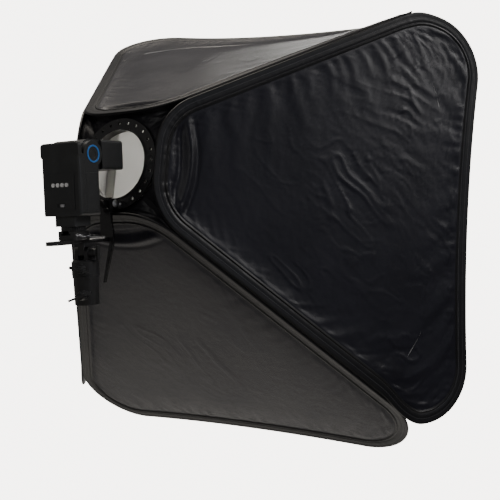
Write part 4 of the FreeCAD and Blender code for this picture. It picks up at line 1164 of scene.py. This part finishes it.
# ---------------------------------------------------------------------------------------------
# Floor, light and camera
# ---------------------------------------------------------------------------------------------
@dataclass
class Studio:
    """Plain pale floor, soft light and the camera behind the box on the ring's right."""

    eye: tuple[float, float, float] = (-0.8457, 0.9228, 0.1527)
    yaw: float = math.radians(30.61)
    pitch: float = math.radians(3.58)
    roll: float = math.radians(-2.0)
    lens: float = 56.54

    def camera(self) -> None:
        """Stand the camera at its place, looking along yaw and down by pitch, then rolled."""
        data = bpy.data.cameras.new("camera")
        data.lens = self.lens
        data.clip_end = 100
        eye = bpy.data.objects.new("camera", data)
        bpy.context.scene.collection.objects.link(eye)
        level = Vector((math.sin(self.yaw), -math.cos(self.yaw), 0))
        side = Vector((-math.cos(self.yaw), -math.sin(self.yaw), 0))
        up = Vector((0, 0, 1))
        ahead = level * math.cos(self.pitch) - up * math.sin(self.pitch)
        over = level * math.sin(self.pitch) + up * math.cos(self.pitch)
        right = side * math.cos(self.roll) + over * math.sin(self.roll)
        top = over * math.cos(self.roll) - side * math.sin(self.roll)
        turn = Matrix((right, top, -ahead)).transposed()
        eye.matrix_world = Matrix.Translation(self.eye) @ turn.to_4x4()
        bpy.context.scene.camera = eye

    def floor(self) -> None:
        """Pale floor at a light stand's height below the socket."""
        size, low = 2.1, -1.6
        ends = np.array([-size, size])
        x, y = np.meshgrid(ends, ends, indexing="ij")
        piece = grid_mesh("floor", np.stack([x, y, np.full_like(x, low)], axis=-1))
        w = Wiring("pale floor")
        place = w.coordinates(False, (1.0, 1.0, 1.0))
        w.join(w.blend(w.noise(place, 1.5, 4.0), (0.82, 0.805, 0.78), (0.79, 0.775, 0.75)), w.shader,
               "Base Color")
        w.set(Roughness=0.8)
        piece.data.materials.append(w.material)

    def lamp(self, name: str, place: tuple[float, float, float], aim: tuple[float, float, float],
             size: float, power: float, colour: tuple[float, float, float]) -> None:
        """One square soft light.

        Args:
            name: its name.
            place: where it is.
            aim: what it points at.
            size: its side in metres.
            power: its power in watts.
            colour: its colour.
        """
        data = bpy.data.lights.new(name, "AREA")
        data.size, data.energy, data.color = size, power, colour
        lamp = bpy.data.objects.new(name, data)
        bpy.context.scene.collection.objects.link(lamp)
        lamp.location = place
        lamp.rotation_euler = (Vector(aim) - Vector(place)).to_track_quat("-Z", "Y").to_euler()

    def build(self) -> None:
        """Make the camera, floor, lights and the pale surroundings."""
        self.camera()
        self.floor()
        centre = (0.0, -0.3, 0.15)
        self.lamp("key", (-2.2, -1.2, 1.7), centre, 0.5, 34.0, (1.0, 0.98, 0.97))
        self.lamp("side", (-3.0, 0.3, 0.9), centre, 1.0, 5.0, (0.82, 0.86, 1.0))
        self.lamp("overhead", (0.6, -0.6, 2.6), centre, 1.6, 60.0, (1.0, 0.93, 0.83))
        self.lamp("behind", (-0.9, 2.2, 1.5), centre, 0.7, 12.0, (1.0, 0.99, 0.97))
        self.lamp("front", (0.6, -2.6, 0.4), centre, 1.8, 90.0, (1.0, 0.97, 0.93))
        self.surroundings(0.12, 6.0)

    def surroundings(self, light: float, seen: float) -> None:
        """Pale warm surroundings.

        Args:
            light: strength with which they light the object.
            seen: strength with which they are seen directly.
        """
        world = bpy.data.worlds.new("surroundings")
        world.use_nodes = True
        nodes, links = world.node_tree.nodes, world.node_tree.links
        background = nodes["Background"]
        background.inputs["Color"].default_value = (1.0, 0.965, 0.92, 1.0)
        path = nodes.new("ShaderNodeLightPath")
        level = nodes.new("ShaderNodeMapRange")
        level.inputs["To Min"].default_value = light
        level.inputs["To Max"].default_value = seen
        links.new(path.outputs["Is Camera Ray"], level.inputs["Value"])
        links.new(level.outputs["Result"], background.inputs["Strength"])
        bpy.context.scene.world = world


def main() -> None:
    """Build the studio, the cloth and the hardware in order."""
    logging.basicConfig(level=logging.INFO, format="%(message)s")
    Studio().build()
    Hardware().build()
    SoftboxCloth().build()


if __name__ == "__main__":
    main()
